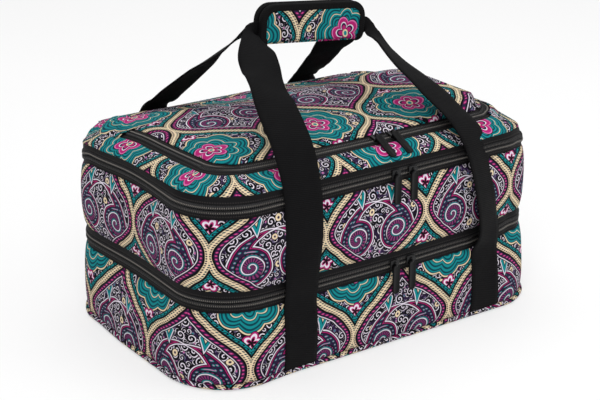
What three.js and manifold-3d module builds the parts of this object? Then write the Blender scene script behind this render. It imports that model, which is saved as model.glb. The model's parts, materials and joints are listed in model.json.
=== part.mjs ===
// A two-deck insulated casserole carrier: a base compartment, an upper tray and a lid that are zipped
// together and hinged along the back, a zipped top flap, two webbing handles and a wrap-round grip.
// Millimetres, +Z up, the front faces -Y, and the origin is on the floor under the middle of the carrier.
import * as THREE from 'three';
import { mergeVertices } from 'three/addons/utils/BufferGeometryUtils.js';
import Module from 'manifold-3d';

// Outer form of the carrier
const LENGTH = 420;
const WIDTH = 284;
const CORNER_RADIUS = 62;
const CORNER_STEPS = 5;
const BASE_DECK = 87;
const TRAY_DECK = 96;
const SHOULDER_RISE = 27;
const LOWER_ZIP_HEIGHT = BASE_DECK;
const MIDDLE_ZIP_HEIGHT = LOWER_ZIP_HEIGHT + TRAY_DECK;
const TOP_ZIP_HEIGHT = MIDDLE_ZIP_HEIGHT + SHOULDER_RISE;
const TOP_ZIP_INSET = 31;
const TOP_ZIP_TILT = 14;
const FLAP_RISE = 11;
const FLAP_CROWN_INSET = 104;
const FLAP_RINGS = 4;
const LEAST_RADIUS = 4;

// Sewn layers of a wall, and the small gap kept between pieces that are sewn together
const FABRIC = 1;
const FOAM = 5;
const LINER = 0.8;
const SEAM_GAP = 0.3;
const BOARD = 2.5;
const WELT_RADIUS = 2.2;
const WELT_SIDES = 8;

// Coil zips: two tapes, each with half of the coil along its edge
const ZIP_HALF_WIDTH = 11;
const TAPE = 0.8;
const COIL_HEIGHT = 2.9;
const COIL_DEPTH = 1.8;
const COIL_SLOT = 1.2;
const HINGE_REACH = 13;

// Zip sliders and their pull tabs
const SLIDER_LENGTH = 11;
const SLIDER_HEIGHT = 9;
const SLIDER_PLATE = 1.4;
const SLIDER_BACK_PLATE = 1.2;
const SLIDER_POST = 5;
const SLIDER_CENTRE = 19.5;
const SLIDER_SPACING = 21;
const ARCH_WIDTH = 2.4;
const ARCH_WALL = 1;
const ARCH_OPENING = 2.6;
const ARCH_HEIGHT = 4.4;
const PULL_BAR = 1.2;
const PULL_ARM = 1.3;
const PULL_WINDOW = 5;
const PULL_LENGTH = 31;
const PULL_WIDTH = 8.5;
const PULL_THICKNESS = 1.6;
const PULL_PLAY = 0.5;
const TOP_PULL_SLOPE = 26;

// Webbing handles
const WEBBING_WIDTH = 38;
const WEBBING = 1.6;
const FRONT_STRAPS = { left: -107, right: 132 };
const REAR_STRAPS = { left: -95, right: 105 };
const STITCH_HEIGHT = 64;
const STRAP_STANDOFF = 5.8;
const STRAP_BREAK = 4;
const STRAP_STEPS = 72;
const STRAP_SPREAD = 58;

// Padded grip that wraps both handles
const GRIP_RISE = 96;
const GRIP_HEIGHT = TOP_ZIP_HEIGHT + GRIP_RISE;
const GRIP_LENGTH = 132;
const GRIP_SHIFT = 10;
const GRIP_ROLL = 6;
const GRIP_TALL = 42;
const GRIP_WALL = 4.6;
const GRIP_CORNER = 16;
const GRIP_STRAP_WIDTH = 22;
const GRIP_STRAP_DROP = 4;
const BINDING_HEIGHT = 4.2;
const FASTENER_HEIGHT = 6;
const FASTENER = 1.5;
const ARC_POINTS = 6;

const wasm = await Module();
wasm.setup();

// Colours and roughness of the materials
const FINISHES = {
  print: { color: 0x4a3d5c, roughness: 0.85, metalness: 0 },
  webbing: { color: 0x121214, roughness: 0.8, metalness: 0 },
  tape: { color: 0x17171a, roughness: 0.75, metalness: 0 },
  coil: { color: 0x1c1c20, roughness: 0.35, metalness: 0 },
  slider: { color: 0x141416, roughness: 0.35, metalness: 0.8 },
  pull: { color: 0x18181a, roughness: 0.5, metalness: 0 },
  foam: { color: 0xe8e6e0, roughness: 0.9, metalness: 0 },
  liner: { color: 0xc8ccd0, roughness: 0.35, metalness: 0.4 },
  board: { color: 0x8a8178, roughness: 0.8, metalness: 0 },
  fastener: { color: 0x0e0e10, roughness: 0.95, metalness: 0 },
};

const carrier = new THREE.Group();

// Adds one named piece to a group.
function addPiece(name, geometry, finish, parent = carrier) {
  geometry.computeVertexNormals();
  const mesh = new THREE.Mesh(geometry, new THREE.MeshStandardMaterial(FINISHES[finish]));
  mesh.name = name;
  parent.add(mesh);
  return mesh;
}

// Six times the signed volume of an indexed mesh, negative where its faces point in.
function signedVolume(positions, indices) {
  const corner = (index) => new THREE.Vector3().fromArray(positions, index * 3);
  let total = 0;
  for (let i = 0; i < indices.length; i += 3) {
    const [a, b, c] = [corner(indices[i]), corner(indices[i + 1]), corner(indices[i + 2])];
    total += a.dot(b.cross(c));
  }
  return total;
}

// A geometry from corner points and triangles, with its faces turned outwards.
function outwardGeometry(points, triangles) {
  const positions = points.flatMap((point) => [point.x, point.y, point.z]);
  const turned = signedVolume(positions, triangles) < 0;
  const indices = turned ? triangles.slice().reverse() : triangles;
  const geometry = new THREE.BufferGeometry();
  geometry.setAttribute('position', new THREE.Float32BufferAttribute(positions, 3));
  geometry.setIndex(indices);
  return geometry;
}

// Joins a list of equal rings of points into one skin; the ends are capped, or meet where it closes.
function skinRings(rings, closes) {
  const count = rings[0].length;
  const triangles = [];
  const last = closes ? rings.length : rings.length - 1;
  for (let ring = 0; ring < last; ring += 1) {
    const lower = ring * count;
    const upper = ((ring + 1) % rings.length) * count;
    for (let i = 0; i < count; i += 1) {
      const j = (i + 1) % count;
      triangles.push(lower + i, lower + j, upper + j, lower + i, upper + j, upper + i);
    }
  }
  if (!closes) {
    const top = (rings.length - 1) * count;
    for (let i = 1; i < count - 1; i += 1) {
      triangles.push(0, i + 1, i, top, top + i, top + i + 1);
    }
  }
  return outwardGeometry(rings.flat(), triangles);
}

// The carrier's outline from above, drawn in by an inset, at one height.
function outlineRing(inset, height) {
  const radius = Math.max(CORNER_RADIUS - inset, LEAST_RADIUS);
  const reachX = LENGTH / 2 - inset - radius;
  const reachY = WIDTH / 2 - inset - radius;
  const ring = [];
  for (let corner = 0; corner < 4; corner += 1) {
    const sideX = corner === 0 || corner === 3 ? 1 : -1;
    const sideY = corner < 2 ? 1 : -1;
    for (let step = 0; step <= CORNER_STEPS; step += 1) {
      const angle = (corner + step / CORNER_STEPS) * Math.PI / 2;
      const x = sideX * reachX + radius * Math.cos(angle);
      const y = sideY * reachY + radius * Math.sin(angle);
      ring.push(new THREE.Vector3(x, y, height));
    }
  }
  return ring;
}

// A band that follows the outline: its section is a closed list of [inset, height] corners.
function bandAround(section) {
  return skinRings(section.map(([inset, height]) => outlineRing(inset, height)), true);
}

// A tub, plate or dome: its section is an open list of [inset, height] corners, capped at both ends.
function tubFrom(section) {
  return skinRings(section.map(([inset, height]) => outlineRing(inset, height)), false);
}

// A flat plate that fills the outline.
function plateAt(inset, bottom, top) {
  return tubFrom([[inset, bottom], [inset, top]]);
}

// A box between two corners.
function boxBetween(low, high) {
  const size = new THREE.Vector3().subVectors(high, low);
  const middle = new THREE.Vector3().addVectors(low, high).multiplyScalar(0.5);
  const geometry = new THREE.BoxGeometry(size.x, size.y, size.z);
  return geometry.translate(middle.x, middle.y, middle.z);
}

// A solid for cutting and joining, from a closed geometry.
function toSolid(geometry) {
  const bare = geometry.clone();
  bare.deleteAttribute('normal');
  bare.deleteAttribute('uv');
  const merged = mergeVertices(bare);
  const vertProperties = new Float32Array(merged.attributes.position.array);
  const triVerts = new Uint32Array(merged.index.array);
  return new wasm.Manifold(new wasm.Mesh({ numProp: 3, vertProperties, triVerts }));
}

// The geometry of a solid that has been cut or joined.
function toGeometry(solid) {
  const mesh = solid.getMesh();
  const geometry = new THREE.BufferGeometry();
  geometry.setAttribute('position', new THREE.BufferAttribute(new Float32Array(mesh.vertProperties), 3));
  geometry.setIndex(new THREE.BufferAttribute(new Uint32Array(mesh.triVerts), 1));
  return geometry;
}

// One body joined from several overlapping geometries.
function joinAll(geometries) {
  const solids = geometries.map(toSolid);
  return toGeometry(solids.reduce((whole, next) => whole.add(next)));
}

// The stretch of the back wall between the zips' ends, where the fabric itself is the hinge. It reaches
// into the corners, so that the coils end in front of the hinge lines.
const hingeHalf = LENGTH / 2 - CORNER_RADIUS + HINGE_REACH;
function backWindow(margin) {
  const low = new THREE.Vector3(-hingeHalf - margin, 0, -LENGTH);
  const high = new THREE.Vector3(hingeHalf + margin, LENGTH, LENGTH);
  return toSolid(boxBetween(low, high));
}

// A band that is left out along the back window, as the zips' parts are.
function openAtBack(geometry) {
  return toGeometry(toSolid(geometry).subtract(backWindow(SEAM_GAP)));
}

// A wall whose back stretch reaches further, up to the hinge lines.
function wallWithBack(section, backSections) {
  const window = backWindow(0);
  const wall = toSolid(bandAround(section));
  const backs = backSections.map((back) => toSolid(bandAround(back)).intersect(window));
  return toGeometry(backs.reduce((whole, next) => whole.add(next), wall));
}

// A section of two straight sides between two insets and two heights.
function slab(outer, inner, bottom, top) {
  return [[outer, bottom], [outer, top], [inner, top], [inner, bottom]];
}

// Insets of the layers from the outer face of a wall
const foamInset = FABRIC + SEAM_GAP;
const linerInset = foamInset + FOAM + SEAM_GAP;

// Zips: where the middle of the coil runs, and how its tapes lie
const VERTICAL = 90;
const lowerZip = { name: 'lower', height: LOWER_ZIP_HEIGHT, inset: 0, tilt: VERTICAL };
const middleZip = { name: 'middle', height: MIDDLE_ZIP_HEIGHT, inset: 0, tilt: VERTICAL };
const topZip = { name: 'top', height: TOP_ZIP_HEIGHT, inset: TOP_ZIP_INSET, tilt: TOP_ZIP_TILT };

// The [inset, height] of a point that lies `along` the tape from the coil and `out` from the fabric.
function zipPoint(zip, along, out) {
  const tilt = THREE.MathUtils.degToRad(zip.tilt);
  const inset = zip.inset + along * Math.cos(tilt) - out * Math.sin(tilt);
  const height = zip.height + along * Math.sin(tilt) + out * Math.cos(tilt);
  return [inset, height];
}

// A band on one half of a zip.
function zipBand(zip, along, out) {
  const corners = [[along[0], out[0]], [along[0], out[1]], [along[1], out[1]], [along[1], out[0]]];
  return openAtBack(bandAround(corners.map(([a, o]) => zipPoint(zip, a, o))));
}

const tapeFace = -FABRIC;
const tapeBack = tapeFace - TAPE;
const coilBack = tapeFace + SEAM_GAP;
const coilFace = coilBack + COIL_DEPTH;

// The tape and the half coil on one side of a zip: side is -1 below and 1 above.
function addZipHalf(zip, side, label) {
  const edge = side * COIL_SLOT / 2;
  const seam = side * (ZIP_HALF_WIDTH - SEAM_GAP);
  const coilEnd = side * (COIL_SLOT / 2 + COIL_HEIGHT);
  addPiece(`${zip.name}_zip_tape_${label}`, zipBand(zip, [seam, edge], [tapeBack, tapeFace]), 'tape');
  addPiece(`${zip.name}_zip_coil_${label}`, zipBand(zip, [coilEnd, edge], [coilBack, coilFace]), 'coil');
}

// Base compartment
const panelTop = FABRIC;
const boardBottom = panelTop + SEAM_GAP;
const boardTop = boardBottom + BOARD;
const weltHeight = boardBottom + SEAM_GAP + WELT_RADIUS;
const weltTop = weltHeight + WELT_RADIUS;
const weltInset = FABRIC - WELT_RADIUS;
const baseFoamBottom = boardTop + SEAM_GAP;
const baseFoamFloor = baseFoamBottom + FOAM;
const baseSeam = LOWER_ZIP_HEIGHT - ZIP_HALF_WIDTH;
const baseRim = baseSeam - SEAM_GAP;

function weltSection() {
  const section = [];
  for (let i = 0; i < WELT_SIDES; i += 1) {
    const angle = (i + 0.5) / WELT_SIDES * Math.PI * 2;
    const out = WELT_RADIUS * Math.cos(angle);
    section.push([weltInset - out, weltHeight + WELT_RADIUS * Math.sin(angle)]);
  }
  return section;
}

// A tub with a floor and walls, open at the top.
function openTub(outer, wall, bottom, floor, rim) {
  return tubFrom([[outer, bottom], [outer, rim], [outer + wall, rim], [outer + wall, floor]]);
}

function addBase() {
  addPiece('base_bottom_panel', plateAt(foamInset, 0, panelTop), 'print');
  addPiece('base_stiffener_board', plateAt(foamInset, boardBottom, boardTop), 'board');
  addPiece('base_welt', bandAround(weltSection()), 'print');
  const shell = slab(0, FABRIC, weltTop + SEAM_GAP, baseSeam);
  const back = slab(0, FABRIC, baseSeam - ZIP_HALF_WIDTH, LOWER_ZIP_HEIGHT - SEAM_GAP);
  addPiece('base_outer_shell', wallWithBack(shell, [back]), 'print');
  addPiece('base_foam', openTub(foamInset, FOAM, baseFoamBottom, baseFoamFloor, baseRim), 'foam');
  const linerBottom = baseFoamFloor + SEAM_GAP;
  addPiece('base_liner', openTub(linerInset, LINER, linerBottom, linerBottom + LINER, baseRim), 'liner');
  addZipHalf(lowerZip, -1, 'base');
}

// Upper tray
const traySeamLow = LOWER_ZIP_HEIGHT + ZIP_HALF_WIDTH;
const traySeamHigh = MIDDLE_ZIP_HEIGHT - ZIP_HALF_WIDTH;
const trayFoamBottom = traySeamLow + SEAM_GAP;
const trayFoamFloor = trayFoamBottom + FOAM;
const trayRim = traySeamHigh - SEAM_GAP;

function addTray() {
  const shell = slab(0, FABRIC, traySeamLow, traySeamHigh);
  const lowBack = slab(0, FABRIC, LOWER_ZIP_HEIGHT + SEAM_GAP, traySeamLow + ZIP_HALF_WIDTH);
  const highBack = slab(0, FABRIC, traySeamHigh - ZIP_HALF_WIDTH, MIDDLE_ZIP_HEIGHT - SEAM_GAP);
  addPiece('tray_outer_shell', wallWithBack(shell, [lowBack, highBack]), 'print');
  addPiece('tray_foam', openTub(foamInset, FOAM, trayFoamBottom, trayFoamFloor, trayRim), 'foam');
  const linerBottom = trayFoamFloor + SEAM_GAP;
  addPiece('tray_liner', openTub(linerInset, LINER, linerBottom, linerBottom + LINER, trayRim), 'liner');
  const underTop = trayFoamBottom - SEAM_GAP;
  addPiece('tray_underside_lining', plateAt(linerInset, underTop - LINER, underTop), 'liner');
  addZipHalf(lowerZip, 1, 'tray');
  addZipHalf(middleZip, -1, 'tray');
}

// Lid: a sloping printed shoulder round a padded floor, which is the floor of the top pocket
const shoulderFoot = MIDDLE_ZIP_HEIGHT + ZIP_HALF_WIDTH;
const [shoulderTopInset, shoulderTopHeight] = zipPoint(topZip, -ZIP_HALF_WIDTH, tapeFace);
const SHOULDER_CURVE = [[0, 0], [0.16, 0.38], [0.5, 0.74], [1, 1]];
const shoulderRise = shoulderTopHeight - shoulderFoot;

// The shoulder's curve, moved inwards by `shift`, as far up as `share` of its height.
function shoulderLine(shift, share) {
  const line = SHOULDER_CURVE.map(([inwards, up]) => [
    shift + inwards * share * shoulderTopInset,
    shoulderFoot + up * share * shoulderRise,
  ]);
  return line;
}

const lidFoamBottom = shoulderFoot + SEAM_GAP;
const lidFoamFloor = lidFoamBottom + FOAM;
const LID_FOAM_SHARE = 0.8;

// The inset of a line of [inset, height] points where it reaches a height.
function insetAt(line, height) {
  const next = line.findIndex(([, reached]) => reached >= height);
  const [low, high] = [line[next - 1], line[next]];
  const share = (height - low[1]) / (high[1] - low[1]);
  return THREE.MathUtils.lerp(low[0], high[0], share);
}

function addLid() {
  const inside = shoulderLine(FABRIC, 1).slice(0, -1);
  inside.push(zipPoint(topZip, -ZIP_HALF_WIDTH, tapeBack));
  const skin = [...shoulderLine(0, 1), ...inside.reverse()];
  const footBack = slab(0, FABRIC, MIDDLE_ZIP_HEIGHT + SEAM_GAP, shoulderFoot + FABRIC);
  const topBack = [
    zipPoint(topZip, -ZIP_HALF_WIDTH - FABRIC, tapeFace),
    zipPoint(topZip, -SEAM_GAP, tapeFace),
    zipPoint(topZip, -SEAM_GAP, tapeBack),
    zipPoint(topZip, -ZIP_HALF_WIDTH - FABRIC, tapeBack),
  ];
  addPiece('lid_shoulder', wallWithBack(skin, [footBack, topBack]), 'print');
  const outer = shoulderLine(foamInset + SEAM_GAP, LID_FOAM_SHARE);
  outer[0][1] = lidFoamBottom;
  const inner = shoulderLine(linerInset, LID_FOAM_SHARE);
  const wall = inner.filter(([, height]) => height > lidFoamFloor).reverse();
  const floorEdge = [insetAt(inner, lidFoamFloor), lidFoamFloor];
  addPiece('lid_foam', tubFrom([...outer, ...wall, floorEdge]), 'foam');
  const underTop = lidFoamBottom - SEAM_GAP;
  addPiece('lid_underside_lining', plateAt(linerInset, underTop - LINER, underTop), 'liner');
  const pocketBottom = lidFoamFloor + SEAM_GAP;
  const pocketTop = pocketBottom + LINER;
  const pocketInset = insetAt(inner, pocketTop) + SEAM_GAP;
  addPiece('lid_pocket_lining', plateAt(pocketInset, pocketBottom, pocketTop), 'liner');
  addZipHalf(middleZip, 1, 'lid');
  addZipHalf(topZip, -1, 'lid');
}

// Top flap: a domed printed cover, its padding and its lining
const [flapEdgeInset, flapEdgeHeight] = zipPoint(topZip, ZIP_HALF_WIDTH, tapeFace);

// The dome's curve, `down` below the printed face, from an inset at its edge to the crown.
function domeLine(edgeInset, down) {
  const line = [];
  for (let ring = 0; ring < FLAP_RINGS; ring += 1) {
    const share = ring / (FLAP_RINGS - 1);
    const rise = FLAP_RISE * (1 - (1 - share) ** 2);
    const inset = edgeInset + share * (FLAP_CROWN_INSET - edgeInset);
    line.push([inset, flapEdgeHeight + rise - down]);
  }
  return line;
}

// One layer of the dome between two depths.
function domeLayer(edgeInset, top, bottom) {
  return tubFrom([...domeLine(edgeInset, bottom).reverse(), ...domeLine(edgeInset, top)]);
}

function addFlap() {
  const back = [
    zipPoint(topZip, SEAM_GAP, tapeFace),
    zipPoint(topZip, ZIP_HALF_WIDTH + FABRIC, tapeFace),
    zipPoint(topZip, ZIP_HALF_WIDTH + FABRIC, tapeBack),
    zipPoint(topZip, SEAM_GAP, tapeBack),
  ];
  const dome = toSolid(domeLayer(flapEdgeInset, 0, FABRIC));
  const hinge = toSolid(bandAround(back)).intersect(backWindow(0));
  addPiece('flap_cover', toGeometry(dome.add(hinge)), 'print');
  const padTop = FABRIC + SEAM_GAP;
  const padBottom = padTop + FOAM;
  const padInset = flapEdgeInset + FABRIC + SEAM_GAP;
  addPiece('flap_padding', domeLayer(padInset, padTop, padBottom), 'foam');
  addPiece('flap_lining', domeLayer(padInset, padBottom + SEAM_GAP, padBottom + SEAM_GAP + LINER), 'liner');
  addZipHalf(topZip, 1, 'flap');
}

// Zip sliders with their pull tabs; the arch on a slider holds the pull's bar
const plateIn = coilFace + SEAM_GAP;
const plateOut = plateIn + SLIDER_PLATE;
const archOut = plateOut + ARCH_OPENING;
const archMiddle = (ARCH_HEIGHT - SLIDER_HEIGHT) / 2;
const barOut = plateOut + ARCH_OPENING / 2;

// A box in a slider's own frame: along the zip, out of the bag and up the tape.
function sliderBox(halfLength, out, up) {
  const low = new THREE.Vector3(-halfLength, -out[1], up[0]);
  const high = new THREE.Vector3(halfLength, -out[0], up[1]);
  return boxBetween(low, high);
}

function sliderGeometry() {
  const half = SLIDER_HEIGHT / 2;
  const backIn = tapeBack - SEAM_GAP;
  const postHalf = COIL_SLOT / 2 - SEAM_GAP;
  const archLow = archMiddle - ARCH_HEIGHT / 2;
  const archHigh = archMiddle + ARCH_HEIGHT / 2;
  const archHalf = ARCH_WIDTH / 2;
  return joinAll([
    sliderBox(SLIDER_LENGTH / 2, [plateIn, plateOut], [-half, half]),
    sliderBox(SLIDER_LENGTH / 2, [backIn - SLIDER_BACK_PLATE, backIn], [-half, half]),
    sliderBox(SLIDER_POST / 2, [backIn - SLIDER_BACK_PLATE / 2, plateOut], [-postHalf, postHalf]),
    sliderBox(archHalf, [plateIn, archOut + ARCH_WALL], [archLow, archLow + ARCH_WALL]),
    sliderBox(archHalf, [plateIn, archOut + ARCH_WALL], [archHigh - ARCH_WALL, archHigh]),
    sliderBox(archHalf, [archOut, archOut + ARCH_WALL], [archLow, archHigh]),
  ]);
}

function pullGeometry() {
  const eyeHalf = ARCH_WIDTH / 2 + PULL_PLAY;
  const barHalf = PULL_BAR / 2;
  const armHalf = eyeHalf + PULL_ARM;
  const bar = sliderBox(armHalf, [-barHalf, barHalf], [-barHalf, barHalf]);
  const arms = [-1, 1].map((side) => {
    const arm = sliderBox(PULL_ARM / 2, [-barHalf, barHalf], [-PULL_WINDOW - PULL_BAR, barHalf]);
    return arm.translate(side * (eyeHalf + PULL_ARM / 2), 0, 0);
  });
  const half = PULL_WIDTH / 2;
  const shape = new THREE.Shape();
  shape.moveTo(-half, PULL_WINDOW + half);
  shape.absarc(0, PULL_LENGTH - half, half, Math.PI, 0, true);
  shape.lineTo(half, PULL_WINDOW + half);
  shape.lineTo(half / 2, PULL_WINDOW);
  shape.lineTo(-half / 2, PULL_WINDOW);
  shape.closePath();
  const options = { depth: PULL_THICKNESS, bevelEnabled: false, curveSegments: ARC_POINTS };
  const tab = new THREE.ExtrudeGeometry(shape, options);
  tab.translate(0, 0, -PULL_THICKNESS / 2);
  tab.rotateX(-Math.PI / 2);
  return joinAll([bar, ...arms, tab]);
}

function addSliders(zip, hangAngle) {
  const sides = { left: -1, right: 1 };
  for (const [side, sign] of Object.entries(sides)) {
    const place = new THREE.Group();
    place.position.set(SLIDER_CENTRE + sign * SLIDER_SPACING / 2, zip.inset - WIDTH / 2, zip.height);
    place.rotation.x = THREE.MathUtils.degToRad(zip.tilt - VERTICAL);
    carrier.add(place);
    addPiece(`${zip.name}_slider_${side}`, sliderGeometry(), 'slider', place);
    const hang = new THREE.Group();
    hang.position.set(0, -barOut, archMiddle);
    hang.rotation.x = THREE.MathUtils.degToRad(VERTICAL - zip.tilt - hangAngle);
    place.add(hang);
    addPiece(`${zip.name}_pull_${side}`, pullGeometry(), 'pull', hang);
  }
}

// A flat band swept through points; each point has its own width and the way that its face looks.
function webbingBand(stations) {
  const rings = stations.map(({ point, ahead, face, width }) => {
    const across = new THREE.Vector3().crossVectors(face, ahead).normalize();
    const normal = new THREE.Vector3().crossVectors(ahead, across).normalize();
    const corners = [[-1, -1], [1, -1], [1, 1], [-1, 1]];
    return corners.map(([a, n]) => point.clone()
      .addScaledVector(across, a * width / 2)
      .addScaledVector(normal, n * WEBBING / 2));
  });
  return skinRings(rings, false);
}

const gripHalf = GRIP_LENGTH / 2;
const sewnOut = SEAM_GAP + WEBBING / 2;
const runOut = (SEAM_GAP + WEBBING) / 2;

// The grip's own frame: its middle, tilted by the roll that it hangs with.
const grip = new THREE.Group();
grip.position.set(GRIP_SHIFT, 0, GRIP_HEIGHT);
grip.rotation.y = THREE.MathUtils.degToRad(GRIP_ROLL);
grip.updateMatrix();
carrier.add(grip);

// A stretch of webbing sewn flat on the front (-1) or the rear (1) face.
function sewnStrap(x, side, bottom, top) {
  const half = WEBBING_WIDTH / 2;
  const near = side * (WIDTH / 2 + SEAM_GAP);
  const far = side * (WIDTH / 2 + SEAM_GAP + WEBBING);
  const low = new THREE.Vector3(x - half, Math.min(near, far), bottom);
  const high = new THREE.Vector3(x + half, Math.max(near, far), top);
  return boxBetween(low, high);
}

// The straps' free stretches: [towards the grip, inwards from the face, up from the middle zip], and the turn
// into the grip: [before its end, out from its run, below its run].
const FRONT_ROUTES = {
  left: {
    lean: [[-3, 0, 43], [2, 39, 80], [13, 84, 112]],
    turn: [[26, 24, 16], [17, 8, 6], [9, 0.2, 0.8]],
  },
  right: {
    lean: [[14, -STRAP_STANDOFF, -7], [24, 1, 25], [30, 34, 48], [37, 62, 65], [43, 94, 81]],
    turn: [[14, 25, 15], [13, 8, 7], [9, 0.2, 1]],
  },
};
const REAR_ROUTES = {
  left: {
    lean: [[0, -STRAP_STANDOFF, 15], [0, 20, 40], [6, 57, 64], [15, 97, 91]],
    turn: [[20, 23, 11], [16, 8, 5], [9, 0.2, 0.6]],
  },
  right: {
    lean: [[1, -STRAP_STANDOFF, 15], [6, 20, 36], [17, 62, 60], [26, 97, 85]],
    turn: [[14, 22, 14], [13, 7, 6], [9, 0.2, 0.8]],
  },
};

// One half of a handle, from its foot to its grip end: hand is -1 on the left and 1 on the right, and side is
// -1 on the front and 1 on the rear.
function handleHalf(x, hand, side, start, { lean, turn }) {
  const face = (inwards) => side * (WIDTH / 2 - inwards);
  const points = start.map(([inwards, height]) => new THREE.Vector3(x, face(inwards), height));
  for (const [across, inwards, up] of lean) {
    points.push(new THREE.Vector3(x - hand * across, face(inwards), MIDDLE_ZIP_HEIGHT + up));
  }
  for (const [before, out, down] of [...turn, [-GRIP_CORNER, 0, 0]]) {
    const drop = -GRIP_STRAP_DROP - down;
    const local = new THREE.Vector3(hand * (gripHalf + before), side * (runOut + out), drop);
    points.push(local.applyMatrix4(grip.matrix));
  }
  return points;
}

// A whole handle loop through its points; it narrows where the grip gathers it.
function handleLoop(side, left, right) {
  const middle = new THREE.Vector3(0, side * runOut, -GRIP_STRAP_DROP).applyMatrix4(grip.matrix);
  const curve = new THREE.CatmullRomCurve3([...left, middle, ...right.reverse()], false, 'centripetal');
  const ends = [-gripHalf, gripHalf].map((x) => new THREE.Vector3(x, 0, 0).applyMatrix4(grip.matrix));
  const stations = [];
  for (let step = 0; step <= STRAP_STEPS; step += 1) {
    const share = step / STRAP_STEPS;
    const point = curve.getPointAt(share);
    point.y = side * Math.max(side * point.y, runOut);
    const inside = point.x > ends[0].x && point.x < ends[1].x && side * point.y < STRAP_STANDOFF;
    const away = inside ? 0 : Math.min(...ends.map((end) => end.distanceTo(point)));
    const spread = THREE.MathUtils.smoothstep(away, GRIP_CORNER, STRAP_SPREAD);
    const width = THREE.MathUtils.lerp(GRIP_STRAP_WIDTH, WEBBING_WIDTH, spread);
    const face = new THREE.Vector3(0, side, 0);
    stations.push({ point, ahead: curve.getTangentAt(share), face, width });
  }
  return webbingBand(stations);
}

function addHandles() {
  const legBottom = weltTop + SEAM_GAP;
  for (const [side, x] of Object.entries(FRONT_STRAPS)) {
    addPiece(`front_leg_${side}`, sewnStrap(x, -1, legBottom, STITCH_HEIGHT), 'webbing');
  }
  const baseEnd = LOWER_ZIP_HEIGHT - STRAP_BREAK;
  const trayStart = LOWER_ZIP_HEIGHT + STRAP_BREAK;
  const trayEnd = MIDDLE_ZIP_HEIGHT - STRAP_BREAK;
  for (const [side, x] of Object.entries(REAR_STRAPS)) {
    addPiece(`rear_leg_${side}`, sewnStrap(x, 1, legBottom, baseEnd), 'webbing');
    addPiece(`rear_tray_strap_${side}`, sewnStrap(x, 1, trayStart, trayEnd), 'webbing');
  }
  const frontFoot = [-sewnOut, STITCH_HEIGHT + SEAM_GAP];
  const lowSwell = [-STRAP_STANDOFF, LOWER_ZIP_HEIGHT - ZIP_HALF_WIDTH / 2];
  const highSwell = [-STRAP_STANDOFF, MIDDLE_ZIP_HEIGHT + ZIP_HALF_WIDTH / 2];
  const leftStart = [frontFoot, lowSwell, highSwell];
  const frontLeft = handleHalf(FRONT_STRAPS.left, -1, -1, leftStart, FRONT_ROUTES.left);
  const frontRight = handleHalf(FRONT_STRAPS.right, 1, -1, [frontFoot, lowSwell], FRONT_ROUTES.right);
  addPiece('front_handle_loop', handleLoop(-1, frontLeft, frontRight), 'webbing');
  const rearFoot = [-sewnOut, MIDDLE_ZIP_HEIGHT + STRAP_BREAK + SEAM_GAP];
  const rearLeft = handleHalf(REAR_STRAPS.left, -1, 1, [rearFoot], REAR_ROUTES.left);
  const rearRight = handleHalf(REAR_STRAPS.right, 1, 1, [rearFoot], REAR_ROUTES.right);
  addPiece('rear_handle_loop', handleLoop(1, rearLeft, rearRight), 'webbing');
}

// Grip: a padded back, a padded front flap hinged at the bottom fold, and its fasteners
const gripBottom = -GRIP_TALL / 2;
const gripTop = GRIP_TALL / 2;
const gripHollow = WEBBING + SEAM_GAP * 2;
const gripOut = gripHollow + GRIP_WALL;

// A rounded panel of the grip, between two places across it.
function gripPanel(bottom, top, out) {
  const shape = new THREE.Shape();
  const half = gripHalf;
  const radius = GRIP_CORNER;
  shape.moveTo(-half, bottom);
  shape.lineTo(half, bottom);
  shape.lineTo(half, top - radius);
  shape.absarc(half - radius, top - radius, radius, 0, Math.PI / 2, false);
  shape.absarc(-half + radius, top - radius, radius, Math.PI / 2, Math.PI, false);
  shape.closePath();
  const options = { depth: out[1] - out[0], bevelEnabled: false, curveSegments: ARC_POINTS };
  const panel = new THREE.ExtrudeGeometry(shape, options);
  panel.rotateX(Math.PI / 2);
  return panel.translate(0, out[1], 0);
}

function gripStrip(bottom, top, out) {
  const half = gripHalf - GRIP_CORNER;
  const low = new THREE.Vector3(-half, out[0], bottom);
  const high = new THREE.Vector3(half, out[1], top);
  return boxBetween(low, high);
}

function addGrip() {
  const bound = gripTop - BINDING_HEIGHT;
  const foldTop = gripBottom + GRIP_WALL;
  const fold = boxBetween(
    new THREE.Vector3(-gripHalf, -gripHollow + SEAM_GAP, gripBottom),
    new THREE.Vector3(gripHalf, gripOut, foldTop),
  );
  const pad = joinAll([gripPanel(gripBottom, bound, [gripHollow, gripOut]), fold]);
  addPiece('grip_pad', pad, 'print', grip);
  addPiece('grip_flap', gripPanel(gripBottom, bound, [-gripOut, -gripHollow]), 'print', grip);
  const capBottom = bound + SEAM_GAP;
  addPiece('grip_pad_binding', gripStrip(capBottom, gripTop, [gripHollow, gripOut]), 'webbing', grip);
  addPiece('grip_flap_binding', gripStrip(capBottom, gripTop, [-gripOut, -gripHollow]), 'webbing', grip);
  const tapeTop = bound - SEAM_GAP;
  const tapeBottom = tapeTop - FASTENER_HEIGHT;
  const seat = gripHollow - SEAM_GAP;
  addPiece('grip_loop_tape', gripStrip(tapeBottom, tapeTop, [seat - FASTENER, seat]), 'fastener', grip);
  addPiece('grip_hook_tape', gripStrip(tapeBottom, tapeTop, [-seat, FASTENER - seat]), 'fastener', grip);
}

addBase();
addTray();
addLid();
addFlap();
addSliders(lowerZip, 0);
addSliders(middleZip, 0);
addSliders(topZip, VERTICAL - TOP_PULL_SLOPE);
addHandles();
addGrip();

export default carrier;
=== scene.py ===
"""Looks of a two-deck insulated casserole carrier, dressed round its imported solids."""
import json
import logging
import math
from dataclasses import dataclass
from enum import Enum
from typing import Callable, Sequence

import bmesh
import bpy
from mathutils import Matrix, Vector, noise


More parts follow.
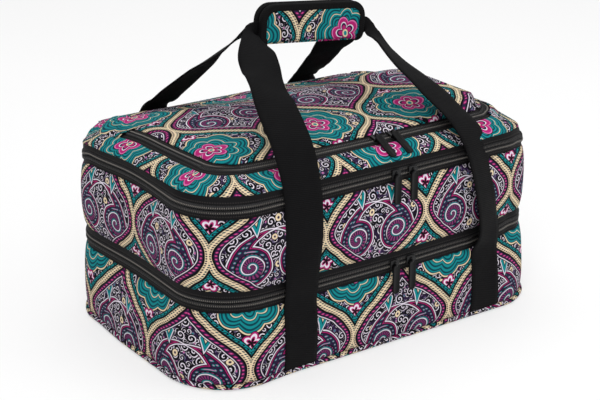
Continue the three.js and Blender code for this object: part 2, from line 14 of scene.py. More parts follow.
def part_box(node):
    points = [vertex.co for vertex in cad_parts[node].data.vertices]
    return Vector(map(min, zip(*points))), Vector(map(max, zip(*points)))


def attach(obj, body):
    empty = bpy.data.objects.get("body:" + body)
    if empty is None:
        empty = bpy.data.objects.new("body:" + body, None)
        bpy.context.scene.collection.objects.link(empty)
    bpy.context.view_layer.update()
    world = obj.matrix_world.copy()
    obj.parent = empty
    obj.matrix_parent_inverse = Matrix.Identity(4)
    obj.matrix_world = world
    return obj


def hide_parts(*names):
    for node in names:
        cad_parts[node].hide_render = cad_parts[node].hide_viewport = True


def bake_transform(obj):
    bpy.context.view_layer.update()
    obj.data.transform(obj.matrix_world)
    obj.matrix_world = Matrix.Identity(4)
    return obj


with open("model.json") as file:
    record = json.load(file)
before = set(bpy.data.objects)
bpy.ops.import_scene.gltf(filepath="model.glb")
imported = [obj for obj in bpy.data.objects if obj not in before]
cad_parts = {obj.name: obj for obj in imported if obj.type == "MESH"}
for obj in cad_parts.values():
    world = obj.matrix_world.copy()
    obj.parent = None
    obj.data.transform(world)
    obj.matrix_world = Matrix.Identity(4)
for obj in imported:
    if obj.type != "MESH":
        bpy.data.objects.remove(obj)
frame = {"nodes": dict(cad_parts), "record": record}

MM = 0.001
TAU = math.tau
QUARTER = TAU / 4
UV_NAME = "cloth"
WHITE = (1.0, 1.0, 1.0, 1.0)
LOG = logging.getLogger("carrier")
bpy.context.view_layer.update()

# Where the printed walls start over the table, and how far below and above a zip they end, in millimetres
WALL_FOOT = 4.6
LIP_LOW = 9.5
LIP_HIGH = 12.0

# Thickness of the silver film and of the printed strips, in millimetres
FILM = 0.7
STRIP = 0.8

# Faces round the carrier, for its walls and for its linings
WALL_STEPS = 264
LINING_STEPS = 160

Mesh = bmesh.types.BMesh
Vert = bmesh.types.BMVert
Edge = bmesh.types.BMEdge
Material = bpy.types.Material
Socket = bpy.types.NodeSocket
Flat = tuple[float, float]
Place = Callable[[float, float], Vector]
Spread = Callable[[float, float], Flat]
Twist = Callable[[Vector], float]


class Slot(Enum):
    """The record's material slots."""

    PRINT = "print_fabric"
    WEBBING = "webbing"
    TAPE = "zip_tape"
    COIL = "zip_coil"
    SLIDER = "slider_metal"
    PULL = "pull_tab"
    LINER = "liner_film"
    BOARD = "stiffener_board"
    FASTENER = "fastener_tape"


class Side(Enum):
    """The two sides of the carrier, as seen from its front."""

    LEFT = "left"
    RIGHT = "right"


# Shader arithmetic


def math_method(action: str) -> Callable[..., "Shade"]:
    """A method that adds one Math node with the given operation."""
    def method(self: "Shade", *others: "Shade | float") -> "Shade":
        """Add the node to the graph of this value."""
        return self.graph.math(action, self, *others)

    return method


class Shade:
    """A value in a material's nodes, with arithmetic that adds Math nodes."""

    def __init__(self, graph: "Graph", socket: Socket) -> None:
        """Wrap one output socket of the graph."""
        self.graph = graph
        self.socket = socket

    __add__ = __radd__ = math_method("ADD")
    __mul__ = __rmul__ = math_method("MULTIPLY")
    __sub__ = math_method("SUBTRACT")
    __truediv__ = math_method("DIVIDE")
    __abs__ = math_method("ABSOLUTE")
    sin = math_method("SINE")
    cos = math_method("COSINE")
    root = math_method("SQRT")
    part = math_method("FRACT")
    most = math_method("MAXIMUM")
    least = math_method("MINIMUM")
    angle = math_method("ARCTAN2")

    def __rsub__(self, other: float) -> "Shade":
        """Difference from a number."""
        return self.graph.math("SUBTRACT", other, self)

    def reach(self, other: "Shade") -> "Shade":
        """Distance of the point that has this and the other as its coordinates."""
        return (self * self + other * other).root()

    def cell(self, size: float, shift: float = 0.0) -> "Shade":
        """Distance from the middle of the nearest of a row of equal cells."""
        return ((self / size + shift).part() - 0.5) * size

    def above(self, limit: float, soft: float = 0.3) -> "Shade":
        """One where the value is above the limit, with a soft edge."""
        return self.graph.ramp(self, limit - soft, limit + soft)

    def below(self, limit: float, soft: float = 0.3) -> "Shade":
        """One where the value is below the limit, with a soft edge."""
        return self.graph.ramp(self, limit + soft, limit - soft)

    def between(self, low: float, high: float, soft: float = 0.3) -> "Shade":
        """One where the value lies between two limits."""
        return self.above(low, soft) * self.below(high, soft)


@dataclass(frozen=True)
class Colour:
    """A colour written as its screen code."""

    code: str

    @property
    def linear(self) -> tuple[float, float, float, float]:
        """The colour as the shader takes it."""
        parts = [int(self.code[i:i + 2], 16) / 255 for i in (0, 2, 4)]
        red, green, blue = (c / 12.92 if c <= 0.04045 else ((c + 0.055) / 1.055) ** 2.4 for c in parts)
        return (red, green, blue, 1.0)


class Graph:
    """The nodes of a material or a world, and the ways to add to them."""

    def __init__(self, owner: Material | bpy.types.World, main: str = "Principled BSDF") -> None:
        """Turn the owner's nodes on and find its main shader."""
        owner.use_nodes = True
        self.owner = owner
        self.tree = owner.node_tree
        self.shader = self.tree.nodes[main]

    def node(self, kind: str, settings: dict | None = None, inputs: dict | None = None) -> bpy.types.Node:
        """Add any node.

        Args:
            kind: The node's type.
            settings: Its own settings, set first.
            inputs: Values or links of its sockets.

        Returns:
            The new node.
        """
        made = self.tree.nodes.new(kind)
        for key, value in (settings or {}).items():
            setattr(made, key, value)
        for key, value in (inputs or {}).items():
            self.plug(made.inputs[key], value)
        return made

    def plug(self, socket: Socket, value: object) -> None:
        """Link a socket, or set its value."""
        value = value.linear if isinstance(value, Colour) else value
        value = value.socket if isinstance(value, Shade) else value
        if isinstance(value, Socket):
            self.tree.links.new(value, socket)
        else:
            socket.default_value = value

    def math(self, action: str, *values: Shade | float) -> Shade:
        """Add a Math node and return its result."""
        made = self.node("ShaderNodeMath", {"operation": action}, dict(enumerate(values)))
        return Shade(self, made.outputs[0])

    def ramp(self, value: Shade, zero: float, one: float) -> Shade:
        """A smooth step from 0 to 1.

        Args:
            value: The value to step on.
            zero: Where the step is 0.
            one: Where it is 1, above or below that.

        Returns:
            The step.
        """
        first, last = (1.0, 0.0) if zero > one else (0.0, 1.0)
        ends = {1: min(zero, one), 2: max(zero, one), 3: first, 4: last}
        made = self.node("ShaderNodeMapRange", {"interpolation_type": "SMOOTHSTEP"}, {0: value, **ends})
        return Shade(self, made.outputs[0])

    def mix(self, mask: Shade, under: object, over: object) -> Socket:
        """Lay one colour over another through a mask."""
        made = self.node("ShaderNodeMix", {"data_type": "RGBA"}, {0: mask, 6: under, 7: over})
        return made.outputs[2]

    def cloth(self) -> tuple[Shade, Shade]:
        """The piece's own flat coordinates, in millimetres."""
        flat = self.node("ShaderNodeUVMap", {"uv_map": UV_NAME})
        parts = self.node("ShaderNodeSeparateXYZ", inputs={0: flat.outputs[0]})
        return Shade(self, parts.outputs[0]) / MM, Shade(self, parts.outputs[1]) / MM

    def place(self) -> Socket:
        """Coordinates of the piece in metres."""
        return self.node("ShaderNodeTexCoord").outputs["Object"]

    def grain(self, vector: object, scale: float, detail: float = 2.0) -> Shade:
        """Soft noise from 0 to 1."""
        made = self.node("ShaderNodeTexNoise", inputs={"Vector": vector, "Scale": scale, "Detail": detail})
        return Shade(self, made.outputs[0])

    def join(self, across: Shade, along: Shade) -> Socket:
        """A vector from two values."""
        return self.node("ShaderNodeCombineXYZ", inputs={0: across, 1: along}).outputs[0]

    def raise_by(self, height: Shade, distance: float, strength: float = 1.0) -> None:
        """Bump the surface by a height from 0 to 1."""
        inputs = {"Height": height, "Distance": distance, "Strength": strength}
        self.set(Normal=self.node("ShaderNodeBump", inputs=inputs).outputs[0])

    def set(self, **values: object) -> None:
        """Set or link the main shader's sockets; underscores stand for spaces."""
        for key, value in values.items():
            self.plug(self.shader.inputs[key.replace("_", " ")], value)


# Finishes


@dataclass
class Ink:
    """Colours laid one over another on a cloth."""

    graph: Graph
    tint: object

    def lay(self, mask: Shade, colour: Colour) -> None:
        """Lay a colour through a mask."""
        self.tint = self.graph.mix(mask, self.tint, colour)

    def nest(self, value: Shade, *rows: tuple[float, Colour]) -> None:
        """Lay colours one inside the other; each row is the limit below which its colour starts."""
        for limit, colour in rows:
            self.lay(value.below(limit), colour)


@dataclass(frozen=True)
class PrintCloth:
    """Cotton cloth with an all-over print of dotted ogees, scalloped flowers, curled drops and curls."""

    repeat: float = 122.0
    rise: float = 150.0
    thread: float = 0.8
    drift: float = 9.0
    ground: Colour = Colour("09070d")
    plum: Colour = Colour("2a1a3a")
    rose: Colour = Colour("7c3262")
    mauve: Colour = Colour("6a5c80")
    teal: Colour = Colour("0f7f84")
    deep: Colour = Colour("073a46")
    magenta: Colour = Colour("a82068")
    pink: Colour = Colour("cc6da3")
    cream: Colour = Colour("dcc8a6")
    white: Colour = Colour("dcd4e0")

    def make(self) -> Material:
        """Make the printed cloth's material."""
        graph = Graph(bpy.data.materials.new("print_cloth"))
        u, v = graph.cloth()
        threads = (u * (TAU / self.thread)).sin() * (v * (TAU / self.thread)).sin() * 0.5 + 0.5
        flat = graph.join(u, v)
        u, v = (way + (graph.grain(flat, size) - 0.5) * self.drift for way, size in ((u, 0.021), (v, 0.026)))
        ink = Ink(graph, self.ground)
        for layer in (self.ground_print, self.flower_print, self.drop_print, self.ogee_print):
            layer(ink, u, v)
        fade = graph.grain(graph.place(), 9.0)
        graph.set(Base_Color=ink.tint, Roughness=0.74 + fade * 0.16, Specular_IOR_Level=0.1)
        graph.raise_by(threads, 0.12 * MM, 0.5)
        return graph.owner

    def seeds(self, graph: Graph, u: Shade, v: Shade, size: float) -> tuple[Shade, Shade, Shade]:
        """Scattered cells.

        Args:
            graph: The material's nodes.
            u: First cloth coordinate.
            v: Second cloth coordinate.
            size: Width of a cell, in millimetres.

        Returns:
            Distance from the cell's middle, the turn round it, and a value of the cell's own.
        """
        cells = graph.node("ShaderNodeTexVoronoi", {"voronoi_dimensions": "2D"},
                           {"Vector": graph.join(u, v), "Scale": 1 / size, "Randomness": 0.75})
        middle = graph.node("ShaderNodeSeparateXYZ", inputs={0: cells.outputs["Position"]})
        own = graph.node("ShaderNodeSeparateColor", inputs={0: cells.outputs["Color"]})
        across, along = u - Shade(graph, middle.outputs[0]), v - Shade(graph, middle.outputs[1])
        return across.reach(along), along.angle(across) / TAU, Shade(graph, own.outputs[0])

    def ground_print(self, ink: Ink, u: Shade, v: Shade) -> None:
        """Dark ground with curls of two sizes, coloured dots and pale eyes."""
        graph = ink.graph
        ink.lay(graph.grain(graph.join(u, v), 0.03).above(0.5, 0.12), self.plum)
        reach, _, own = self.seeds(graph, u + 4.0, v, 5.4)
        ink.lay(reach.between(0.9, 1.7), self.mauve)
        ink.lay(reach.below(0.9) * own.above(0.6, 0.02), self.pink)
        ink.lay(reach.below(0.9) * own.below(0.3, 0.02), self.teal)
        for size, pitch in ((7.4, 2.4), (12.5, 3.4)):
            reach, turn, own = self.seeds(graph, u, v, size)
            ink.lay(reach.below(size * 0.43), self.ground)
            wind = (reach / pitch + turn + own).part()
            ink.lay(wind.below(0.3, 0.09) * reach.below(size * 0.4), self.white)
        reach, _, own = self.seeds(graph, u, v + 9.0, 27.0)
        for limit, colour in ((4.0, self.ground), (3.3, self.cream), (1.3, self.plum)):
            ink.lay(reach.below(limit) * own.above(0.4, 0.02), colour)

    def flower_print(self, ink: Ink, u: Shade, v: Shade) -> None:
        """Scalloped flowers in every other ogee, with a bud over and under each."""
        across, along = u.cell(self.repeat, 0.5), v.cell(self.rise, 0.5)
        reach, turn = across.reach(along), along.angle(across)
        rim = reach - abs((turn * 4).cos()) * 5.0 - 33.0
        ink.nest(rim, (2.4, self.ground), (1.4, self.cream), (0.0, self.deep), (-1.0, self.teal))
        ink.lay((rim / 4.2).part().below(0.44, 0.08) * rim.below(-1.0), self.deep)
        ink.lay((rim / 12.6).part().below(0.07, 0.03) * rim.below(-4.0), self.cream)
        petal = reach - abs((turn * 2.5).cos()) * 6.0 - 11.0
        ink.nest(petal, (1.2, self.ground), (0.3, self.pink), (-1.2, self.magenta), (-5.2, self.white),
                 (-6.4, self.plum), (-8.6, self.magenta))
        ink.nest(reach, (3.4, self.cream), (2.0, self.teal))
        for lift in (-47.0, 47.0):
            up = along - lift
            bud = across.reach(up) - abs((up.angle(across) * 2.5).cos()) * 3.4
            ink.nest(bud, (7.4, self.ground), (6.6, self.magenta), (4.8, self.white), (2.4, self.magenta),
                     (1.0, self.ground))

    def drop_print(self, ink: Ink, u: Shade, v: Shade) -> None:
        """Pairs of curled drops in the ogees between the flowers."""
        across, along = abs(u.cell(self.repeat)), v.cell(self.rise)
        lean, lift = across - 25.0, along + 13.0
        reach, turn = lean.reach(lift), lift.angle(lean)
        inner = across - 1.0
        bend = lift.angle(inner).most(0.0)
        tail = abs(inner.reach(lift) - 35.0) - (1.0 - bend / 1.55) * 9.6 + lift.below(0.0, 0.5) * 60.0
        drop = tail.least(reach - 20.0)
        ink.nest(drop, (2.0, self.ground), (1.1, self.white), (0.0, self.ground), (-0.9, self.magenta),
                 (-1.7, self.ground), (-2.4, self.plum))
        pips = lift.cell(4.4).reach(drop + 4.6)
        ink.nest(pips, (1.5, self.ground), (1.1, self.teal), (0.5, self.pink))
        head = reach - 13.4
        ink.nest(head, (0.9, self.ground), (0.0, self.plum))
        ink.lay((turn * (20 / TAU)).part().below(0.5, 0.1) * head.below(0.0), self.rose)
        wind = (reach / 7.6 - turn / TAU).part()
        heart = head.below(-0.6)
        ink.lay(wind.below(0.46, 0.05) * heart, self.ground)
        ink.lay(wind.between(0.08, 0.22, 0.04) * heart, self.white)
        ink.lay(wind.between(0.26, 0.38, 0.04) * heart, self.teal)
        leaf = abs(across - 17.0 - along * 0.12) + abs(along - 33.0) * 0.42
        ink.nest(leaf, (8.2, self.ground), (7.2, self.white), (6.2, self.teal), (3.4, self.deep),
                 (2.2, self.cream))

    def ogee_print(self, ink: Ink, u: Shade, v: Shade) -> None:
        """The dotted bands that part the ogees."""
        turn = v * (TAU / self.rise)
        lean = turn.sin() * (QUARTER / self.rise)
        slope = (lean * lean + 1 / self.repeat ** 2).root()
        edge = ((turn.cos() + 1.0) * 0.25 - abs(u.cell(self.repeat, 0.5)) / self.repeat) / slope
        run = v * 1.3
        band = edge.between(5.0, 7.8)
        ink.lay(edge.between(0.0, 8.8), self.ground)
        ink.lay(band, self.teal)
        ink.lay(run.cell(5.4).reach(edge - 5.0).between(1.2, 2.3) * band, self.ground)
        rows = ((-11.4, 0.0, self.ground), (-10.5, -9.7, self.white), (-8.6, -5.0, self.plum))
        for low, high, colour in rows:
            ink.lay(edge.between(low, high), colour)
        ink.nest(run.cell(4.6).reach(edge + 6.8), (1.25, self.magenta), (0.5, self.pink))
        ink.nest(abs(edge), (3.9, self.ground), (2.9, self.cream))
        for row, start, colour in ((-1.6, 0.0, self.plum), (1.6, 0.5, self.deep)):
            ink.lay(run.cell(3.0, start).reach(edge - row).below(0.95), colour)


@dataclass(frozen=True)
class Webbing:
    """Black webbing with fine slanting ribs and denser edges."""

    dark: Colour = Colour("050506")
    light: Colour = Colour("111012")
    slope: float = 0.32
    rib: float = 2.1
    row: float = 1.3

    def make(self) -> Material:
        """Make the webbing's material."""
        graph = Graph(bpy.data.materials.new("webbing_weave"))
        u, v = graph.cloth()
        ribs = ((v + u * self.slope) * (TAU / self.rib)).sin() * 0.5 + 0.5
        weave = ribs * ((u * (TAU / self.row)).cos() * 0.2 + 0.8)
        wear = graph.grain(graph.place(), 60.0)
        graph.set(Base_Color=graph.mix(weave * (0.55 + wear * 0.5), self.dark, self.light),
                  Roughness=0.7 + wear * 0.2, Specular_IOR_Level=0.12)
        graph.raise_by(weave, 0.3 * MM, 0.7)
        return graph.owner


@dataclass(frozen=True)
class ZipTape:
    """Black woven tape with sewing beside the coil."""

    dark: Colour = Colour("070608")
    light: Colour = Colour("121113")
    thread: Colour = Colour("2c2928")
    rib: float = 1.1
    row: float = 0.9
    seam: float = 6.4
    stitch: float = 2.4

    def make(self) -> Material:
        """Make the tape's material; its cloth height is the distance from the coil."""
        graph = Graph(bpy.data.materials.new("zip_tape_weave"))
        u, v = graph.cloth()
        ribs = (v * (TAU / self.rib)).sin() * (u * (TAU / self.row)).sin() * 0.5 + 0.5
        stitch = abs(abs(v) - self.seam).below(0.55, 0.2) * abs(u.cell(self.stitch)).below(0.75, 0.2)
        tint = graph.mix(stitch * 0.8, graph.mix(ribs * 0.6, self.dark, self.light), self.thread)
        graph.set(Base_Color=tint, Roughness=0.72, Specular_IOR_Level=0.15)
        graph.raise_by(ribs * 0.4 + stitch, 0.25 * MM, 0.7)
        return graph.owner


@dataclass(frozen=True)
class CoilNylon:
    """Black nylon coil, its turns painted lighter than the gaps as a painted highlight, with a pale dot of
    thread on each turn's crest that is partly a painted highlight.
    """

    # The light colour is a painted highlight on the coil's turns, over the black of the nylon
    dark: Colour = Colour("080708")
    light: Colour = Colour("131214")
    # Colour of the thread dots on each turn's crest, painted pale enough to be partly a painted highlight
    thread: Colour = Colour("6a655f")
    pitch: float = 2.0
    ridge: float = 2.0

    def make(self) -> Material:
        """Make the coil's material; its cloth height runs over the coil, from 0 to 4 mm."""
        graph = Graph(bpy.data.materials.new("zip_coil_nylon"))
        u, v = graph.cloth()
        turns = abs(u.cell(self.pitch))
        # Pale dots on the crest of each turn: the thread, partly a painted highlight
        thread_and_highlight_dots = abs(v - self.ridge).below(0.42, 0.12) * turns.below(0.4, 0.12)
        # Turns painted lighter than the gaps between them: a painted highlight
        tint = graph.mix(turns.below(0.6, 0.3), self.dark, self.light)
        graph.set(Base_Color=graph.mix(thread_and_highlight_dots, tint, self.thread), Roughness=0.45, Specular_IOR_Level=0.3)
        return graph.owner


@dataclass(frozen=True)
class Smooth:
    """A plain moulded, enamelled or filmy finish with fine grain."""

    name: str
    dark: str
    light: str
    rough: float
    metal: float
    scale: float
    depth: float
    coat: float = 0.0
    shine: float = 0.5

    def make(self) -> Material:
        """Make the finish from two scales of grain."""
        graph = Graph(bpy.data.materials.new(self.name))
        place = graph.place()
        fine = graph.grain(place, self.scale, 4.0)
        broad = graph.grain(place, self.scale / 7)
        tint = graph.mix(fine * 0.5 + broad * 0.5, Colour(self.dark), Colour(self.light))
        graph.set(Base_Color=tint, Metallic=self.metal, Roughness=self.rough - 0.1 + broad * 0.2,
                  Coat_Weight=self.coat, Specular_IOR_Level=self.shine)
        graph.raise_by(fine * 0.4 + broad, self.depth * MM, 0.6)
        return graph.owner


@dataclass(frozen=True)
class FastenerPile:
    """Hook and loop tape: a dense pile of tiny threads."""

    dark: Colour = Colour("0d0d0f")
    light: Colour = Colour("37363a")
    scale: float = 900.0

    def make(self) -> Material:
        """Make the pile's material."""
        graph = Graph(bpy.data.materials.new("fastener_pile"))
        seeds = graph.node("ShaderNodeTexVoronoi", inputs={"Vector": graph.place(), "Scale": self.scale})
        near = Shade(graph, seeds.outputs["Distance"])
        graph.set(Base_Color=graph.mix(near, self.light, self.dark), Roughness=0.9)
        graph.raise_by(1.0 - near, 0.5 * MM)
        return graph.owner


class Finishes:
    """Every material of the carrier, made once."""

    def __init__(self) -> None:
        """Make the materials."""
        finishes = {
            Slot.PRINT: PrintCloth(),
            Slot.WEBBING: Webbing(),
            Slot.TAPE: ZipTape(),
            Slot.COIL: CoilNylon(),
            Slot.SLIDER: Smooth("slider_enamel", "060607", "151517", 0.32, 0.4, 400.0, 0.03, 0.2, 0.3),
            Slot.PULL: Smooth("pull_rubber", "040405", "0a0a0b", 0.4, 0.0, 1400.0, 0.06, shine=0.16),
            Slot.LINER: Smooth("liner_film", "b9bdc2", "d9dce0", 0.36, 0.55, 70.0, 1.2),
            Slot.BOARD: Smooth("stiffener_board", "6d563c", "8a7050", 0.8, 0.0, 500.0, 0.1),
            Slot.FASTENER: FastenerPile(),
        }
        self.made = {slot: finish.make() for slot, finish in finishes.items()}

    def __getitem__(self, slot: Slot) -> Material:
        """The material of a slot."""
        return self.made[slot]


# Mesh helpers


def ease(value: float, low: float, high: float) -> float:
    """A smooth step from 0 to 1 between two places."""
    share = min(max((value - low) / (high - low), 0.0), 1.0)
    return share * share * (3 - 2 * share)


def ripple(x: float, y: float, z: float, size: float) -> float:
    """Deterministic noise of a given size, from about -1 to 1."""
    return noise.noise(Vector((x, y, z)) / size)


def warp(across: int, along: int, place: Place, spread: Spread, core: Vector) -> Mesh:
    """Bend a flat grid into a cloth surface.

    Args:
        across: Faces in the first direction.
        along: Faces in the second direction.
        place: Gives each grid point its place, in millimetres.
        spread: Gives each grid point its flat cloth coordinates, in millimetres.
        core: A point behind the surface, from which its faces point away.

    Returns:
        The mesh, in metres.
    """
    mesh = bmesh.new()
    layer = mesh.loops.layers.uv.new(UV_NAME)
    bmesh.ops.create_grid(mesh, x_segments=across, y_segments=along, size=1.0)
    for face in mesh.faces:
        for loop in face.loops:
            spot = loop.vert.co
            flat = spread(spot.x / 2 + 0.5, spot.y / 2 + 0.5)
            loop[layer].uv = (flat[0] * MM, flat[1] * MM)
    for vert in mesh.verts:
        vert.co = place(vert.co.x / 2 + 0.5, vert.co.y / 2 + 0.5)
    bmesh.ops.remove_doubles(mesh, verts=mesh.verts, dist=0.02)
    mesh.normal_update()
    flow = sum(face.normal.dot(face.calc_center_median() - core) * face.calc_area() for face in mesh.faces)
    if flow < 0:
        bmesh.ops.reverse_faces(mesh, faces=mesh.faces)
    bmesh.ops.scale(mesh, vec=(MM, MM, MM), verts=mesh.verts)
    return mesh


def area_of(mesh: Mesh) -> float:
    """Area of a mesh before it has thickness."""
    return sum(face.calc_area() for face in mesh.faces)


def block(mesh: Mesh, size: Sequence[float], taper: float = 1.0) -> list[Vert]:
    """Add a box that can be narrower at its right end.

    Args:
        mesh: The mesh to add to.
        size: Length, width and height.
        taper: The right end's share of the width.

    Returns:
        The box's corners.
    """
    made = bmesh.ops.create_cube(mesh, size=1.0)["verts"]
    for vert in made:
        if vert.co.x > 0:
            vert.co.y *= taper
    bmesh.ops.scale(mesh, vec=size, verts=made)
    return made


def edges_at(verts: Sequence[Vert]) -> list[Edge]:
    """Edges that meet the vertices, each once and in a fixed order."""
    return list(dict.fromkeys(edge for vert in verts for edge in vert.link_edges))


def bevel(mesh: Mesh, edges: list[Edge], radius: float, segments: int) -> list[Vert]:
    """Round some edges.

    Args:
        mesh: The mesh to change.
        edges: Its edges to round.
        radius: How round they get.
        segments: Faces across each of them.

    Returns:
        The new vertices.
    """
    made = bmesh.ops.bevel(mesh, geom=edges, offset=radius, offset_type="OFFSET", segments=segments,
                           profile=0.5, affect="EDGES", material=-1)
    return made["verts"]


def fixed_order(mesh: Mesh) -> None:
    """Sort vertices and faces along a slanting line, so that every run gives the same order."""
    slant = Vector((1.0, 0.7321, 0.4142))
    mesh.verts.sort(key=lambda vert: vert.co.dot(slant))
    mesh.faces.sort(key=lambda face: face.calc_center_median().dot(slant))


def set_down(mesh: Mesh, matrix: Matrix) -> Mesh:
    """Move a mesh from millimetres in its own frame to metres in the carrier's."""
    bmesh.ops.transform(mesh, matrix=matrix, verts=mesh.verts)
    bmesh.ops.scale(mesh, vec=(MM, MM, MM), verts=mesh.verts)
    return mesh


class Workshop:
    """Turns meshes into finished pieces on their bodies."""

    def __init__(self, finishes: Finishes) -> None:
        """Keep the finishes at hand."""
        self.finishes = finishes

    def piece(self, name: str, mesh: Mesh, slot: Slot, thick: float = 0.0, offset: float = -1.0,
              soften: int = 0) -> bpy.types.Object:
        """Make an object from a mesh.

        Args:
            name: The piece's name.
            mesh: Its mesh in metres, used up here.
            slot: Its finish.
            thick: Thickness to give a sheet, in millimetres.
            offset: Minus one keeps the sheet as the outer face, 0 as the middle.
            soften: Levels of subdivision.

        Returns:
            The new object.
        """
        data = bpy.data.meshes.new(name)
        mesh.to_mesh(data)
        mesh.free()
        data.polygons.foreach_set("use_smooth", [True] * len(data.polygons))
        data.materials.append(self.finishes[slot])
        made = bpy.data.objects.new(name, data)
        bpy.context.scene.collection.objects.link(made)
        if thick:
            wall = made.modifiers.new("thickness", "SOLIDIFY")
            wall.thickness = thick * MM
            wall.offset = offset
        if soften:
            round_off = made.modifiers.new("soften", "SUBSURF")
            round_off.levels = round_off.render_levels = soften
        LOG.info("%s: %d faces, %s", name, len(data.polygons), slot.value)
        return made

    def ride(self, made: bpy.types.Object, body: str, *nodes: str) -> None:
        """Set a piece on its body in place of its nodes."""
        if nodes:
            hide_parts(*nodes)
        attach(made, body)

    def fit(self, name: str, mesh: Mesh, slot: Slot, thick: float, body: str, *nodes: str) -> None:
        """Make a piece and set it on its body in place of its nodes."""
        self.ride(self.piece(name, mesh, slot, thick), body, *nodes)


# Shape of the carrier


@dataclass(frozen=True)
class Outline:
    """The rounded plan of the carrier; it starts at the middle of the back and goes round by the left end.

    Each row of stands is how far the soft body stands out at one level, at each station on the way round.
    The dips are how far its upper edge sinks there.
    """

    half_length: float
    half_width: float
    radius: float
    levels: tuple[float, ...] = (0.0, 87.0, 183.0, 212.0)
    stations: tuple[float, ...] = (0.0, 0.127, 0.139, 0.151, 0.164, 0.189, 0.25, 0.349, 0.418, 0.5,
                                   0.582, 0.614, 0.635, 0.655, 0.67, 0.7, 0.75, 0.8, 0.873, 1.0)
    stands: tuple[tuple[float, ...], ...] = (
        (0.0, 0.0, 0.0, 0.0, 0.5, 3.0, 8.0, 9.0, 2.5, 3.5,
         4.0, 4.5, 8.5, 10.0, 10.0, 8.0, 4.0, 1.0, 0.0, 0.0),
        (0.0, 0.0, 0.0, 0.0, -0.5, -1.5, -4.5, 0.0, 2.0, 3.5,
         1.5, -5.0, -4.5, 5.0, 9.0, 8.0, 4.0, 1.0, 0.0, 0.0),
        (0.0, 0.0, 0.0, 0.0, -0.5, -2.0, -5.5, 4.0, 3.5, 3.0,
         2.0, 0.0, 2.2, 5.5, 6.5, 6.0, 3.0, 1.0, 0.0, 0.0),
        (0.0, 0.0, -0.5, -1.0, -1.0, -1.5, -2.5, -8.0, 1.0, 2.5,
         3.0, 0.0, -4.0, -5.0, -5.0, -5.0, -3.0, -1.0, 0.0, 0.0),
    )
    dips: tuple[float, ...] = (0.0, 0.0, 5.0, 10.5, 8.5, 2.0, 0.0, 0.0, 0.0, 0.0,
                               0.0, 0.0, 0.5, 4.0, 7.0, 10.0, 9.5, 5.0, 0.0, 0.0)
    sink: float = 5.0
    sink_middle: float = 1.5
    sink_right: float = 2.5

    @property
    def perimeter(self) -> float:
        """Length all round."""
        return 4 * (self.half_length + self.half_width - 2 * self.radius) + TAU * self.radius

    def at(self, share: float) -> tuple[Vector, Vector]:
        """Follow the plan.

        Args:
            share: Share of the way round.

        Returns:
            The point there and the outward direction.
        """
        long, wide = self.half_length - self.radius, self.half_width - self.radius
        corners = ((-long, wide), (-long, -wide), (long, -wide), (long, wide), (-long, wide))
        left = share % 1.0 * self.perimeter
        start = Vector((0.0, self.half_width, 0.0))
        for corner, run, turn in zip(corners, (long, 2 * wide, 2 * long, 2 * wide, long), range(1, 6)):
            angle = QUARTER * turn
            if left <= run or turn == len(corners):
                break
            left -= run
            if left <= QUARTER * self.radius:
                angle += left / self.radius
                normal = Vector((math.cos(angle), math.sin(angle), 0.0))
                return Vector((*corner, 0.0)) + normal * self.radius, normal
            left -= QUARTER * self.radius
            swing = angle + QUARTER
            start = Vector((*corner, 0.0)) + Vector((math.cos(swing), math.sin(swing), 0.0)) * self.radius
        ahead = Vector((-math.sin(angle), math.cos(angle), 0.0))
        return start + ahead * left, Vector((math.cos(angle), math.sin(angle), 0.0))

    def front(self, x: float) -> float:
        """Share of the way round at a place along the front."""
        return 0.5 + x / self.perimeter

    def between(self, values: Sequence[float], share: float) -> float:
        """One of the soft shape's values at a share of the way round."""
        share = share % 1.0
        index = next(i for i, end in enumerate(self.stations[1:]) if share <= end)
        rise = ease(share, *self.stations[index:index + 2])
        return values[index] + (values[index + 1] - values[index]) * rise

    def stand(self, share: float, height: float) -> float:
        """How far the soft body stands out of its plain plan.

        Args:
            share: Share of the way round.
            height: Height over the table.

        Returns:
            The distance, in millimetres.
        """
        height = min(max(height, self.levels[0]), self.levels[-1])
        level = next(i for i, end in enumerate(self.levels[1:]) if height <= end)
        rise = (height - self.levels[level]) / (self.levels[level + 1] - self.levels[level])
        low, high = (self.between(row, share) for row in self.stands[level:level + 2])
        return low + (high - low) * rise

    def dip(self, share: float, height: float, inset: float) -> Vector:
        """How far the soft upper ends sink."""
        fade = ease(height, 100.0, 183.0) * (1 - ease(inset, 4.0, 30.0))
        return Vector((0, 0, -self.between(self.dips, share) * fade))

    def settle(self, spot: Vector) -> Vector:
        """Let a point of the soft top sink towards the back."""
        right = self.sink_right * ease(spot.x, 60.0, 150.0)
        deep = self.sink + self.sink_middle * ease(spot.x, -150.0, -50.0) + right
        return spot - Vector((0, 0, deep * ease(spot.y, 15.0, 105.0) * ease(spot.z, 186.0, 207.0)))


def node_box(name: str) -> tuple[Vector, Vector]:
    """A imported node's corners in millimetres."""
    low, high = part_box(name)
    return low / MM, high / MM


def joint_place(name: str) -> Vector:
    """A joint's place in millimetres."""
    joint = next(j for j in frame["record"]["behaviour"]["joints"] if j["name"] == name)
    return Vector(joint["pos_m"]) / MM


